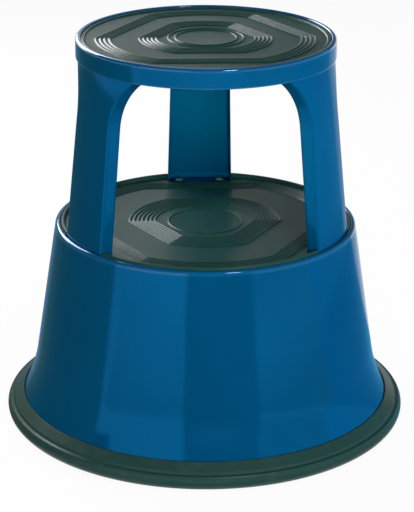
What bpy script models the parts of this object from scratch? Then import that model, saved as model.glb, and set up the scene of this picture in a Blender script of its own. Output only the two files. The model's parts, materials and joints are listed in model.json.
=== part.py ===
"""Rolling two-step stool in pressed steel, in metres, +Z up, origin on the floor under its centre.

A conical drum with a rubber bumper carries the lower step. Three channel legs stand on its deck and carry
the capped top step. Three sprung swivel castors inside the drum hold the bumper just off the floor.
"""

import math

import bmesh
import bpy
from mathutils import Matrix, Vector

MM = 0.001

# Fits
CLEARANCE = 0.3 * MM
WELD = 0.01 * MM
CUT_THROUGH = 4
LEAST_ANGLE = 1e-6

# Facets
ROUND_SEGMENTS = 48
SMALL_SEGMENTS = 10
WHEEL_SEGMENTS = 16
RING_SEGMENTS = 24
BEND_STEPS = 2
FLARE_STEPS = 3
BULGE_STEPS = 5
RIB_ARC_STEPS = 5

# Pressed sheet
SHEET = 1.2 * MM

# Lower drum
DRUM_TOP_R = 163.7 * MM
STEP_RIM_Z = 222.5 * MM
STEP_RIM_WIDTH = 5.7 * MM
STEP_RIM_CORNER = 3.5 * MM
RIM_INNER_BEND = 1.6 * MM
COLLAR_DEPTH = 16 * MM
DRUM_TAPER = math.radians(8.8)
FLARE_TOP_Z = 75 * MM
FLARE_RADIUS = 150 * MM
FLARE_END_Z = 28 * MM
HEM_BEND = 12 * MM
HEM_BOTTOM_Z = 10 * MM

# Rubber bumper ring
BUMPER_LIFT = 2 * MM
BUMPER_LIP = 1.2 * MM
BUMPER_RIDGE_OUT = 11.5 * MM
BUMPER_RIDGE_DROP = 7 * MM
BUMPER_GROOVE_OUT = 1.4 * MM
BUMPER_GROOVE_DROP = 2.4 * MM
BUMPER_BULGE_R = 9.5 * MM
BUMPER_BULGE_START = math.radians(45)
BUMPER_REACH = 19.2 * MM
BUMPER_INNER_WALL = 4 * MM

# Lower deck and its mat
MAT_SEAT_DEPTH = 7 * MM
DECK_EDGE_BEND = 2 * MM
DECK_FLANGE = 8.5 * MM
STEP_MAT_THICK = 3.8 * MM
STEP_MAT_LIP_HEIGHT = 4.8 * MM
STEP_MAT_LIP_WIDTH = 5 * MM
MAT_SLOT_GAP = 1 * MM

# Top cap and its mat
STOOL_HEIGHT = 428 * MM
CAP_R = 138.2 * MM
CAP_SKIRT = 21 * MM
CAP_RIM_WIDTH = 5.6 * MM
CAP_RIM_CORNER = 3 * MM
CAP_RECESS = 7.6 * MM
TOP_MAT_THICK = 4.2 * MM
TOP_MAT_LIP_HEIGHT = 1.4 * MM
TOP_MAT_LIP_WIDTH = 5 * MM

# Tread ribs: nested figures of three chords and three arcs, and a plain ring in the middle.
# Places and pitches are shares of the mat's radius, so the moulded pattern grows with its mat.
RIB_HEIGHT = 1.1 * MM
RIB_ROOT = 0.15 * MM
RIB_DRAFT = 0.1 * MM
TOP_CHORD_AZIMUTH = 30
TOP_OUTER_RIBS = {"outside": 0.8965, "pitch": 0.0363, "count": 4}
TOP_INNER_RIBS = {"outside": 0.5472, "pitch": 0.0333, "count": 5}
TOP_RING_SHARE = 0.3023
STEP_CHORD_AZIMUTH = 90
STEP_OUTER_RIBS = {"outside": 0.948, "pitch": 0.0235, "count": 6}
STEP_INNER_RIBS = {"outside": 0.5365, "pitch": 0.0292, "count": 7}
STEP_RING_SHARE = 0.2536
MIDDLE_RING_WIDTH = 3 * MM
CHORDS = 3
CHORD_HALF_ANGLE = math.radians(30)

# Legs
LEG_AZIMUTHS = {"back": 90, "left": 210, "right": 330}
LEG_HALF_ANGLE = math.radians(13.45)
LEG_FLANGE = 14 * MM
LEG_BEND = 3 * MM
LEG_LAP = 7 * MM
ARCH_RADIUS = 64 * MM
ARCH_RISE = 11 * MM
ARCH_STEPS = 7
LEG_FACE_STEPS = 3
LEG_DRAW_IN = 1.9 * MM
LEG_DRAW_LENGTH = 67 * MM
FOOT_TAB_THICK = 2 * MM
FOOT_TAB_DEPTH = 15 * MM
FOOT_TAB_HALF_WIDTH = 31 * MM
FOOT_TAB_STEPS = 6
RIVET_R = 2.5 * MM
RIVET_HEAD_R = 5 * MM
RIVET_HEAD = 3.2 * MM
RIVET_DOME_R = 3.2 * MM
RIVET_DOME_DROP = 0.7 * MM
RIVET_TAIL = 1.2 * MM
RIVET_HALF_SPACING = 23.5 * MM

# Castors, from the floor up
CASTOR_PITCH_R = 140 * MM
WHEEL_R = 20 * MM
TYRE_WIDTH = 17 * MM
TYRE_TREAD = 8.6 * MM
TYRE_SHOULDER = 3 * MM
TYRE_CROWN = 0.8 * MM
WHEEL_CORE_R = 14 * MM
WHEEL_RIM = 2.5 * MM
WHEEL_RIM_DRAFT = 0.5 * MM
WHEEL_WEB = 7.6 * MM
HUB_R = 6 * MM
AXLE_R = 3 * MM
AXLE_HEAD_R = 4.6 * MM
AXLE_HEAD = 1.8 * MM
FORK_GAP = 20 * MM
FORK_SHEET = 2.2 * MM
FORK_TRAIL = 15 * MM
FORK_EYE_R = 7 * MM
FORK_EYE_ARC = (math.radians(215), math.radians(375))
FORK_EYE_STEPS = 6
CROWN_ABOVE_TYRE = 4 * MM
CROWN_HALF_LENGTH = 14 * MM
STEM_R = 5 * MM
STEM_HEAD_R = 6.5 * MM
STEM_HEAD = 2.4 * MM
STEM_CHAMFER = 1 * MM
STEM_SHOULDER_R = 10 * MM
STEM_SHOULDER = 2.5 * MM
STEM_TAIL = 9 * MM
WASHER_R = 11 * MM
WASHER_THICK = 1.5 * MM
CASTOR_TRAVEL = 6 * MM
TRAVEL_SPARE = 3 * MM

# Castor guides, brackets and springs
BRACKET_SHEET = 2.5 * MM
BRACKET_HALF_WIDTH = 22 * MM
BRACKET_NOSE = 16 * MM
BUSH_WALL = 1.6 * MM
BUSH_FLANGE_R = 10 * MM
BUSH_FLANGE = 2 * MM
BUSH_TAIL = 2 * MM
COLLAR_R = 9.5 * MM
COLLAR_THICK = 3 * MM
SPRING_SPACE = 43 * MM
SPRING_WIRE_R = 1.1 * MM
SPRING_MEAN_R = 8 * MM
SPRING_TURNS = 5.5
SPRING_POINTS_PER_TURN = 8
SPRING_WIRE_ROUNDING = 1

# Heights and radii that follow from the sizes above
DECK_TOP_Z = STEP_RIM_Z - MAT_SEAT_DEPTH
COLLAR_R_INSIDE = DRUM_TOP_R - STEP_RIM_WIDTH
CAP_COLLAR_R = CAP_R - CAP_RIM_WIDTH
CAP_PAN_Z = STOOL_HEIGHT - CAP_RECESS
SKIRT_BOTTOM_Z = STOOL_HEIGHT - CAP_SKIRT
FACET = math.cos(math.pi / ROUND_SEGMENTS)
LEG_FOOT_R = COLLAR_R_INSIDE * FACET - CLEARANCE
LEG_TOP_R = (CAP_R - SHEET) * FACET - CLEARANCE
LEG_BOTTOM_Z = DECK_TOP_Z + CLEARANCE
LEG_TOP_Z = SKIRT_BOTTOM_Z + LEG_LAP
ARCH_CENTRE_Z = SKIRT_BOTTOM_Z + ARCH_RISE - ARCH_RADIUS
BEND_MIDDLE = 1 - math.sqrt(0.5)

CROWN_BOTTOM_Z = 2 * WHEEL_R + CROWN_ABOVE_TYRE
CROWN_TOP_Z = CROWN_BOTTOM_Z + FORK_SHEET
WASHER_Z = CROWN_TOP_Z + CLEARANCE
SHOULDER_Z = WASHER_Z + WASHER_THICK + CLEARANCE
SHOULDER_TOP_Z = SHOULDER_Z + STEM_SHOULDER
LOWER_PLATE_Z = SHOULDER_TOP_Z + CASTOR_TRAVEL + TRAVEL_SPARE + BUSH_TAIL
LOWER_FLANGE_Z = LOWER_PLATE_Z + BRACKET_SHEET + CLEARANCE
COLLAR_Z = LOWER_FLANGE_Z + BUSH_FLANGE + CLEARANCE
SPRING_Z = COLLAR_Z + COLLAR_THICK
UPPER_FLANGE_Z = SPRING_Z + SPRING_SPACE
UPPER_PLATE_Z = UPPER_FLANGE_Z + BUSH_FLANGE + CLEARANCE
UPPER_PLATE_TOP_Z = UPPER_PLATE_Z + BRACKET_SHEET
BUSH_BORE_R = STEM_R + CLEARANCE
BUSH_SLEEVE_R = BUSH_BORE_R + BUSH_WALL
BRACKET_HOLE_R = BUSH_SLEEVE_R + CLEARANCE

BLUE_PAINT = ("blue_paint", (0.0, 0.095, 0.27), 0.28, 0.0)
BLACK_RUBBER = ("bumper_rubber", (0.022, 0.032, 0.033), 0.5, 0.0)
MAT_RUBBER = ("mat_rubber", (0.04, 0.058, 0.055), 0.6, 0.0)
ZINC_STEEL = ("zinc_steel", (0.6, 0.61, 0.6), 0.35, 1.0)
SPRING_STEEL = ("spring_steel", (0.35, 0.35, 0.36), 0.3, 1.0)
NYLON = ("nylon", (0.75, 0.73, 0.66), 0.5, 0.0)
WHEEL_PLASTIC = ("wheel_plastic", (0.05, 0.05, 0.05), 0.45, 0.0)
TYRE_RUBBER = ("tyre_rubber", (0.2, 0.2, 0.2), 0.7, 0.0)


def clear_scene():
    for old in list(bpy.data.objects):
        bpy.data.objects.remove(old, do_unlink=True)


def new_collection(name):
    collection = bpy.data.collections.new(name)
    bpy.context.scene.collection.children.link(collection)
    return collection


clear_scene()
PARTS = new_collection("rolling_step_stool")
CUTTERS = new_collection("cutters")


def give_material(obj, finish):
    name, colour, roughness, metallic = finish
    material = bpy.data.materials.get(name)
    if material is None:
        material = bpy.data.materials.new(name)
        material.use_nodes = True
        shader = material.node_tree.nodes["Principled BSDF"]
        shader.inputs["Base Color"].default_value = (*colour, 1)
        shader.inputs["Roughness"].default_value = roughness
        shader.inputs["Metallic"].default_value = metallic
    obj.data.materials.append(material)


def new_object(name, data, finish=None, parent=None):
    """A part where it has a finish, and otherwise a hidden cutter."""
    obj = bpy.data.objects.new(name, data)
    obj.parent = parent
    if finish is None:
        CUTTERS.objects.link(obj)
        obj.hide_render = True
        obj.display_type = "WIRE"
    else:
        PARTS.objects.link(obj)
        give_material(obj, finish)
    return obj


def arc(centre, radius, start, end, steps):
    """Points on an arc in a profile plane, angles in radians."""
    points = []
    for step in range(steps + 1):
        angle = start + (end - start) * step / steps
        points.append((centre[0] + radius * math.cos(angle), centre[1] + radius * math.sin(angle)))
    return points


def offset_path(path, distance):
    """The path moved to its right-hand side, with mitred corners."""
    moved = []
    for index, point in enumerate(path):
        here = Vector(point)
        before = here - Vector(path[index - 1]) if index else None
        after = Vector(path[index + 1]) - here if index + 1 < len(path) else None
        sides = [Vector((step.y, -step.x)).normalized() for step in (before, after) if step is not None]
        normal = sum(sides, Vector((0, 0))).normalized()
        moved.append(tuple(here + normal * (distance / normal.dot(sides[0]))))
    return moved


def sheet_outline(path, thickness):
    """Closed outline of bent sheet, whose good side follows the path and whose metal lies to its right."""
    return path + offset_path(path, thickness)[::-1]


def turned(name, outline, finish, parent=None, segments=ROUND_SEGMENTS, closed=True):
    """A body turned about Z from a profile of (radius, height) that runs down its outer side."""
    mesh = bpy.data.meshes.new(name)
    edges = [(index, index + 1) for index in range(len(outline) - 1)]
    if closed:
        edges.append((len(outline) - 1, 0))
    mesh.from_pydata([(radius, 0, height) for radius, height in outline], edges, [])
    obj = new_object(name, mesh, finish, parent)
    screw = obj.modifiers.new("turn", "SCREW")
    screw.steps = segments
    screw.render_steps = segments
    screw.use_merge_vertices = True
    screw.merge_threshold = WELD
    screw.use_smooth_shade = True
    return obj


def extruded(name, outline, thickness, finish=None, parent=None):
    """A flat outline in XY made a mesh of this thickness, centred on its plane."""
    curve = bpy.data.curves.new(name, "CURVE")
    curve.dimensions = "2D"
    curve.fill_mode = "BOTH"
    curve.extrude = thickness / 2
    spline = curve.splines.new("POLY")
    spline.points.add(len(outline) - 1)
    for point, (x, y) in zip(spline.points, outline):
        point.co = (x, y, 0, 1)
    spline.use_cyclic_u = True
    guide = bpy.data.objects.new(name + "_outline", curve)
    bpy.context.scene.collection.objects.link(guide)
    graph = bpy.context.evaluated_depsgraph_get()
    mesh = bpy.data.meshes.new_from_object(guide.evaluated_get(graph))
    bpy.data.objects.remove(guide)
    weld_mesh(mesh)
    mesh.name = name
    mesh.materials.clear()
    return new_object(name, mesh, finish, parent)


def grid_faces(rows, columns, closed):
    """Quads over rows of points, joined up into a ring both ways where it is closed."""
    faces = []
    for row in range(rows if closed else rows - 1):
        for column in range(columns if closed else columns - 1):
            here, above = row * columns, (row + 1) % rows * columns
            beside = (column + 1) % columns
            faces.append((here + column, above + column, above + beside, here + beside))
    return faces


def weld_mesh(mesh):
    work = bmesh.new()
    work.from_mesh(mesh)
    bmesh.ops.remove_doubles(work, verts=work.verts, dist=WELD)
    bmesh.ops.recalc_face_normals(work, faces=work.faces)
    work.to_mesh(mesh)
    work.free()


def round_cutter(name, radius, depth, centre, parent=None, axis="Z"):
    """A cylinder whose facets line up with those of the turned piece that passes through it."""
    mesh = bpy.data.meshes.new(name)
    work = bmesh.new()
    bmesh.ops.create_cone(
        work,
        cap_ends=True,
        segments=SMALL_SEGMENTS,
        radius1=radius,
        radius2=radius,
        depth=depth,
        matrix=Matrix.Rotation(-math.pi / 2, 4, "Z"),
    )
    work.to_mesh(mesh)
    work.free()
    cutter = new_object(name, mesh, None, parent)
    cutter.location = centre
    if axis == "X":
        cutter.rotation_euler = (0, math.pi / 2, 0)
    return cutter


def box_cutter(name, size, centre, parent=None):
    mesh = bpy.data.meshes.new(name)
    work = bmesh.new()
    bmesh.ops.create_cube(work, size=1)
    bmesh.ops.scale(work, vec=size, verts=work.verts)
    work.to_mesh(mesh)
    work.free()
    cutter = new_object(name, mesh, None, parent)
    cutter.location = centre
    return cutter


def combine(obj, other, operation):
    boolean = obj.modifiers.new(other.name, "BOOLEAN")
    boolean.operation = operation
    boolean.object = other


def station(name, azimuth, radius=0.0):
    """An empty whose +X points away from the stool's axis."""
    empty = bpy.data.objects.new(name, None)
    PARTS.objects.link(empty)
    angle = math.radians(azimuth)
    empty.location = (radius * math.cos(angle), radius * math.sin(angle), 0)
    empty.rotation_euler = (0, 0, angle)
    return empty


def drum_wall():
    """Profile of the drum's good side: inner collar, rim, cone, flare and hem, down to the lower edge."""
    rim_end = (DRUM_TOP_R - STEP_RIM_CORNER, STEP_RIM_Z - STEP_RIM_CORNER)
    path = [(COLLAR_R_INSIDE, STEP_RIM_Z - COLLAR_DEPTH)]
    inner_bend = (COLLAR_R_INSIDE + RIM_INNER_BEND, STEP_RIM_Z - RIM_INNER_BEND)
    path += arc(inner_bend, RIM_INNER_BEND, math.pi, math.pi / 2, BEND_STEPS)
    path += arc(rim_end, STEP_RIM_CORNER, math.pi / 2, DRUM_TAPER, BEND_STEPS)
    flare_top = (path[-1][0] + (path[-1][1] - FLARE_TOP_Z) * math.tan(DRUM_TAPER), FLARE_TOP_Z)
    flare_centre = (
        flare_top[0] + FLARE_RADIUS * math.cos(DRUM_TAPER),
        flare_top[1] + FLARE_RADIUS * math.sin(DRUM_TAPER),
    )
    lean = math.asin((flare_centre[1] - FLARE_END_Z) / FLARE_RADIUS)
    path += arc(flare_centre, FLARE_RADIUS, math.pi + DRUM_TAPER, math.pi + lean, FLARE_STEPS)
    edge = path[-1]
    hem_centre = (edge[0] - HEM_BEND * math.cos(lean), edge[1] - HEM_BEND * math.sin(lean))
    hem = arc(hem_centre, HEM_BEND, lean, 0, BEND_STEPS)
    hem.append((hem[-1][0], HEM_BOTTOM_Z))
    return path, hem


def make_drum():
    path, hem = drum_wall()
    turned("lower_drum", sheet_outline(path + hem[1:], SHEET), BLUE_PAINT)


def make_bumper():
    """The ring grips the drum's hem in a slot and bulges out past it."""
    hem = drum_wall()[1]
    outer_slot = offset_path(hem, -CLEARANCE)
    inner_slot = offset_path(hem, SHEET + CLEARANCE)
    slot_bottom_z = HEM_BOTTOM_Z - CLEARANCE
    edge_r, edge_z = hem[0]
    lip = (outer_slot[0][0] + BUMPER_LIP, outer_slot[0][1])
    ridge = (edge_r + BUMPER_RIDGE_OUT, edge_z - BUMPER_RIDGE_DROP)
    bulge_centre = (edge_r + BUMPER_REACH - BUMPER_BULGE_R, BUMPER_LIFT + BUMPER_BULGE_R)
    bulge = arc(bulge_centre, BUMPER_BULGE_R, BUMPER_BULGE_START, -math.pi / 2, BULGE_STEPS)
    groove = (ridge[0] + BUMPER_GROOVE_OUT, ridge[1] - BUMPER_GROOVE_DROP)
    inner_r = inner_slot[-1][0] - BUMPER_INNER_WALL
    outline = [lip, ridge, groove] + bulge
    outline += [(inner_r, BUMPER_LIFT), (inner_r, inner_slot[1][1])]
    outline += [inner_slot[1], inner_slot[2], (inner_slot[-1][0], slot_bottom_z)]
    outline += [(outer_slot[-1][0], slot_bottom_z)] + outer_slot[-2::-1]
    turned("bumper_ring", outline, BLACK_RUBBER)


def make_deck(rivet_holes):
    edge_r = COLLAR_R_INSIDE - CLEARANCE
    bend = (edge_r - DECK_EDGE_BEND, DECK_TOP_Z - DECK_EDGE_BEND)
    path = [(0, DECK_TOP_Z)] + arc(bend, DECK_EDGE_BEND, math.pi / 2, 0, BEND_STEPS)
    path.append((edge_r, DECK_TOP_Z - DECK_FLANGE))
    deck = turned("lower_deck", sheet_outline(path, SHEET), BLUE_PAINT, closed=False)
    for hole in rivet_holes:
        combine(deck, hole, "DIFFERENCE")


def circle(radius, height, count):
    return [(x, y, height) for x, y in arc((0, 0), radius, 0, 2 * math.pi, count)[:-1]]


def azimuth_of(point):
    """Angle of a point round the axis, from 0 up to a full turn."""
    angle = math.atan2(point[1], point[0])
    return angle + 2 * math.pi if angle < -LEAST_ANGLE else angle


def zip_faces(first, second):
    """Triangles between two loops of (azimuth, number), each advanced where its next point comes first."""
    faces = []
    here, there = 0, 0
    ends = [len(loop) if len(loop) > 1 else 0 for loop in (first, second)]
    first, second = ([*loop, (loop[0][0] + 2 * math.pi, loop[0][1])] for loop in (first, second))
    while here < ends[0] or there < ends[1]:
        lead = second[there + 1][0] - first[here + 1][0] if here < ends[0] and there < ends[1] else 0
        if there == ends[1] or (here < ends[0] and lead >= -LEAST_ANGLE):
            faces.append((first[here][1], first[here + 1][1], second[there][1]))
            here += 1
        else:
            faces.append((first[here][1], second[there + 1][1], second[there][1]))
            there += 1
    return faces


def lofted(name, loops, finish):
    """A closed body over loops of points round the axis, all with a point at azimuth 0, from pole to pole."""
    points, faces, before = [], [], None
    for loop in loops:
        ordered = sorted(loop, key=azimuth_of)
        numbered = [(azimuth_of(point), len(points) + index) for index, point in enumerate(ordered)]
        points += ordered
        if before:
            faces += zip_faces(before, numbered)
        before = numbered
    mesh = bpy.data.meshes.new(name)
    mesh.from_pydata(points, [], faces)
    weld_mesh(mesh)
    return new_object(name, mesh, finish)


def mat_body(edge_r, bottom_z, thick, lip_width, lip_height):
    """Loops of a tread mat from the middle of its underside round its edge and raised lip to its field."""
    top_z = bottom_z + thick
    lip_z = top_z + lip_height
    lip_r = edge_r - lip_width / 2
    outline = [(edge_r, bottom_z), (edge_r, lip_z - lip_height / 2), (lip_r + lip_width / 4, lip_z)]
    outline += [(lip_r - lip_width / 4, lip_z), (edge_r - lip_width, top_z)]
    return [[(0, 0, bottom_z)]] + [circle(radius, height, ROUND_SEGMENTS) for radius, height in outline]


def rib_figure(corner_r, chord_azimuth, height):
    """A loop of three arcs of this radius, joined by three chords, one of which faces the chord azimuth."""
    loop = []
    turn = 2 * math.pi / CHORDS
    for third in range(CHORDS):
        first = math.radians(chord_azimuth) + third * turn + CHORD_HALF_ANGLE
        outline = arc((0, 0), corner_r, first, first + turn - 2 * CHORD_HALF_ANGLE, RIB_ARC_STEPS)
        loop += [(x, y, height) for x, y in outline]
    return loop


def rib_loops(ribs, edge_r, chord_azimuth, field_z):
    """Loops over a set of nested ribs with a zigzag section, from the outside in."""
    outer_r = edge_r * ribs["outside"]
    pitch = edge_r * ribs["pitch"]
    section = [(outer_r, field_z), (outer_r - RIB_DRAFT, field_z + RIB_ROOT)]
    for rib in range(ribs["count"]):
        crest_r = outer_r - (rib + 0.5) * pitch
        section += [(crest_r, field_z + RIB_HEIGHT), (crest_r - pitch / 2, field_z + RIB_ROOT)]
    section.append((section[-1][0] - RIB_DRAFT, field_z))
    return [rib_figure(radius, chord_azimuth, height) for radius, height in section]


def ring_loops(radius, field_z):
    half = MIDDLE_RING_WIDTH / 2
    section = [(radius + half, field_z), (radius + half / 2, field_z + RIB_HEIGHT)]
    section += [(radius - half / 2, field_z + RIB_HEIGHT), (radius - half, field_z)]
    return [circle(ring_r, height, RING_SEGMENTS) for ring_r, height in section]


def tread_loops(edge_r, field_z, chord_azimuth, outer_ribs, inner_ribs, ring_share):
    """Loops over a mat's tread, from its outer ribs in to its middle."""
    loops = rib_loops(outer_ribs, edge_r, chord_azimuth, field_z)
    loops += rib_loops(inner_ribs, edge_r, chord_azimuth, field_z)
    return loops + ring_loops(edge_r * ring_share, field_z) + [[(0, 0, field_z)]]


def make_lower_mat():
    edge_r = COLLAR_R_INSIDE - CLEARANCE
    bottom_z = DECK_TOP_Z + CLEARANCE
    field_z = bottom_z + STEP_MAT_THICK
    loops = mat_body(edge_r, bottom_z, STEP_MAT_THICK, STEP_MAT_LIP_WIDTH, STEP_MAT_LIP_HEIGHT)
    loops += tread_loops(
        edge_r, field_z, STEP_CHORD_AZIMUTH, STEP_OUTER_RIBS, STEP_INNER_RIBS, STEP_RING_SHARE
    )
    mat = lofted("lower_tread_mat", loops, MAT_RUBBER)
    inner_x = LEG_FOOT_R * math.cos(LEG_HALF_ANGLE) - LEG_FLANGE - MAT_SLOT_GAP
    half_width = LEG_FOOT_R * math.sin(LEG_HALF_ANGLE) + MAT_SLOT_GAP
    outer_x = COLLAR_R_INSIDE + MAT_SLOT_GAP
    tall = CUT_THROUGH * (STEP_MAT_THICK + STEP_MAT_LIP_HEIGHT)
    for side, azimuth in LEG_AZIMUTHS.items():
        slot = box_cutter(
            f"mat_slot_{side}",
            (outer_x - inner_x, 2 * half_width, tall),
            ((outer_x + inner_x) / 2, 0, DECK_TOP_Z),
            station(f"mat_slot_station_{side}", azimuth),
        )
        combine(mat, slot, "DIFFERENCE")


def make_top_mat():
    edge_r = CAP_COLLAR_R - CLEARANCE
    bottom_z = CAP_PAN_Z + CLEARANCE
    field_z = bottom_z + TOP_MAT_THICK
    loops = mat_body(edge_r, bottom_z, TOP_MAT_THICK, TOP_MAT_LIP_WIDTH, TOP_MAT_LIP_HEIGHT)
    loops += tread_loops(edge_r, field_z, TOP_CHORD_AZIMUTH, TOP_OUTER_RIBS, TOP_INNER_RIBS, TOP_RING_SHARE)
    lofted("top_tread_mat", loops, MAT_RUBBER)


def make_cap():
    inner_bend = (CAP_COLLAR_R + RIM_INNER_BEND, STOOL_HEIGHT - RIM_INNER_BEND)
    corner = (CAP_R - CAP_RIM_CORNER, STOOL_HEIGHT - CAP_RIM_CORNER)
    path = [(0, CAP_PAN_Z), (CAP_COLLAR_R, CAP_PAN_Z)]
    path += arc(inner_bend, RIM_INNER_BEND, math.pi, math.pi / 2, BEND_STEPS)
    path += arc(corner, CAP_RIM_CORNER, math.pi / 2, 0, BEND_STEPS)
    path.append((CAP_R, SKIRT_BOTTOM_Z))
    turned("top_cap", sheet_outline(path, SHEET), BLUE_PAINT, closed=False)


def leg_radius(height):
    """Radius of a leg's outer face: upright in the rim, a cone above it, and drawn in to fit the skirt."""
    height = min(max(height, STEP_RIM_Z), SKIRT_BOTTOM_Z)
    share = (height - STEP_RIM_Z) / (SKIRT_BOTTOM_Z - STEP_RIM_Z)
    drawn = max(height - SKIRT_BOTTOM_Z + LEG_DRAW_LENGTH, 0) / LEG_DRAW_LENGTH
    return LEG_FOOT_R + (LEG_TOP_R + LEG_DRAW_IN - LEG_FOOT_R) * share - LEG_DRAW_IN * drawn**2


def leg_heights():
    straight = [LEG_BOTTOM_Z, STEP_RIM_Z, (STEP_RIM_Z + ARCH_CENTRE_Z) / 2]
    arch_end = math.asin((LEG_TOP_Z - ARCH_CENTRE_Z) / ARCH_RADIUS)
    arch = [
        ARCH_CENTRE_Z + ARCH_RADIUS * math.sin(arch_end * step / ARCH_STEPS) for step in range(ARCH_STEPS + 1)
    ]
    return sorted(straight + arch + [SKIRT_BOTTOM_Z])


def leg_section(height):
    """Points across a leg, from the tip of one turned-in edge round the outer face to the other."""
    radius = leg_radius(height)
    into_arch = max(height - ARCH_CENTRE_Z, 0)
    spread = ARCH_RADIUS - math.sqrt(ARCH_RADIUS**2 - into_arch**2)
    half_angle = LEG_HALF_ANGLE + spread / radius
    bend_angle = LEG_BEND / radius
    corner = (radius * math.cos(half_angle), radius * math.sin(half_angle))
    face = [(half_angle - bend_angle) * step / LEG_FACE_STEPS for step in range(LEG_FACE_STEPS, 0, -1)]
    half = [(corner[0] - LEG_FLANGE, corner[1]), (corner[0] - LEG_BEND, corner[1])]
    half.append((corner[0] - BEND_MIDDLE * LEG_BEND, corner[1] - BEND_MIDDLE * LEG_BEND))
    half += [(radius * math.cos(angle), radius * math.sin(angle)) for angle in face]
    return half + [(radius, 0)] + [(x, -y) for x, y in reversed(half)]


def make_leg(side, azimuth):
    place = station(f"leg_station_{side}", azimuth)
    heights = leg_heights()
    sections = [leg_section(height) for height in heights]
    mesh = bpy.data.meshes.new(f"leg_{side}")
    points = [(x, y, height) for section, height in zip(sections, heights) for x, y in section]
    mesh.from_pydata(points, [], grid_faces(len(sections), len(sections[0]), False))
    leg = new_object(f"leg_{side}", mesh, BLUE_PAINT, place)
    shell = leg.modifiers.new("sheet", "SOLIDIFY")
    shell.thickness = SHEET
    shell.offset = -1
    shell.use_even_offset = True
    tab_arc = math.asin(FOOT_TAB_HALF_WIDTH / LEG_FOOT_R)
    outline = arc((0, 0), LEG_FOOT_R - SHEET / 2, -tab_arc, tab_arc, FOOT_TAB_STEPS)
    tab_inner_x = LEG_FOOT_R - SHEET - FOOT_TAB_DEPTH
    outline += [(tab_inner_x, FOOT_TAB_HALF_WIDTH), (tab_inner_x, -FOOT_TAB_HALF_WIDTH)]
    tab = extruded(f"foot_tab_{side}", outline, FOOT_TAB_THICK, None, place)
    tab.location.z = LEG_BOTTOM_Z + FOOT_TAB_THICK / 2
    combine(leg, tab, "UNION")
    holes = []
    tall = 2 * CUT_THROUGH * FOOT_TAB_THICK
    rivet_x = tab_inner_x + FOOT_TAB_DEPTH / 2
    for hand, sign in (("a", 1), ("b", -1)):
        spot = (rivet_x, sign * RIVET_HALF_SPACING, DECK_TOP_Z)
        hole = round_cutter(f"rivet_hole_{side}_{hand}", RIVET_R + CLEARANCE, tall, spot, place)
        combine(leg, hole, "DIFFERENCE")
        holes.append(hole)
        make_rivet(f"foot_rivet_{side}_{hand}", spot, place)
    return holes


def make_rivet(name, spot, place):
    """A domed head on the foot tab, a shank through tab and deck, and a flat clenched head below."""
    head_z = CLEARANCE + FOOT_TAB_THICK + CLEARANCE
    under_z = -SHEET - CLEARANCE
    outline = [(0, head_z + RIVET_HEAD), (RIVET_DOME_R, head_z + RIVET_HEAD - RIVET_DOME_DROP)]
    outline += [(RIVET_HEAD_R, head_z), (RIVET_R, head_z), (RIVET_R, under_z)]
    outline += [(RIVET_HEAD_R, under_z), (RIVET_HEAD_R, under_z - RIVET_TAIL), (0, under_z - RIVET_TAIL)]
    rivet = turned(name, outline, ZINC_STEEL, place, SMALL_SEGMENTS, closed=False)
    rivet.location = spot


def make_bracket(side, place):
    """A C-shaped pressing whose back lies on the drum wall and whose two plates hold the guide bushes."""
    back = []
    for height in (LOWER_PLATE_Z, UPPER_PLATE_TOP_Z):
        rim_z = STEP_RIM_Z - STEP_RIM_CORNER * (1 - math.sin(DRUM_TAPER))
        rim_r = DRUM_TOP_R - STEP_RIM_CORNER * (1 - math.cos(DRUM_TAPER))
        wall_r = rim_r + (rim_z - height) * math.tan(DRUM_TAPER) - SHEET / math.cos(DRUM_TAPER)
        reach = math.sqrt((wall_r * FACET - CLEARANCE) ** 2 - BRACKET_HALF_WIDTH**2)
        back.append((reach - CASTOR_PITCH_R, height))
    path = [(-BRACKET_NOSE, UPPER_PLATE_TOP_Z), back[1], back[0], (-BRACKET_NOSE, LOWER_PLATE_Z)]
    outline = sheet_outline(path, BRACKET_SHEET)
    bracket = extruded(f"castor_bracket_{side}", outline, 2 * BRACKET_HALF_WIDTH, ZINC_STEEL, place)
    bracket.rotation_euler = (math.pi / 2, 0, 0)
    tall = UPPER_PLATE_TOP_Z - LOWER_PLATE_Z + 2 * BRACKET_SHEET
    middle_z = (UPPER_PLATE_TOP_Z + LOWER_PLATE_Z) / 2
    hole = round_cutter(f"bush_hole_{side}", BRACKET_HOLE_R, tall, (0, 0, middle_z), place)
    combine(bracket, hole, "DIFFERENCE")


def make_bushes(side, place):
    """Flanged guides: the lower one's flange lies on its plate, and the upper one's under its plate."""
    tail_z = LOWER_PLATE_Z - BUSH_TAIL
    top_z = LOWER_FLANGE_Z + BUSH_FLANGE
    lower = [(BUSH_FLANGE_R, top_z), (BUSH_FLANGE_R, LOWER_FLANGE_Z), (BUSH_SLEEVE_R, LOWER_FLANGE_Z)]
    lower += [(BUSH_SLEEVE_R, tail_z), (BUSH_BORE_R, tail_z), (BUSH_BORE_R, top_z)]
    turned(f"lower_bush_{side}", lower, NYLON, place, SMALL_SEGMENTS)
    tail_z = UPPER_PLATE_TOP_Z + BUSH_TAIL
    flange_top_z = UPPER_FLANGE_Z + BUSH_FLANGE
    upper = [(BUSH_SLEEVE_R, tail_z), (BUSH_SLEEVE_R, flange_top_z), (BUSH_FLANGE_R, flange_top_z)]
    upper += [(BUSH_FLANGE_R, UPPER_FLANGE_Z), (BUSH_BORE_R, UPPER_FLANGE_Z), (BUSH_BORE_R, tail_z)]
    turned(f"upper_bush_{side}", upper, NYLON, place, SMALL_SEGMENTS)


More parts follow.
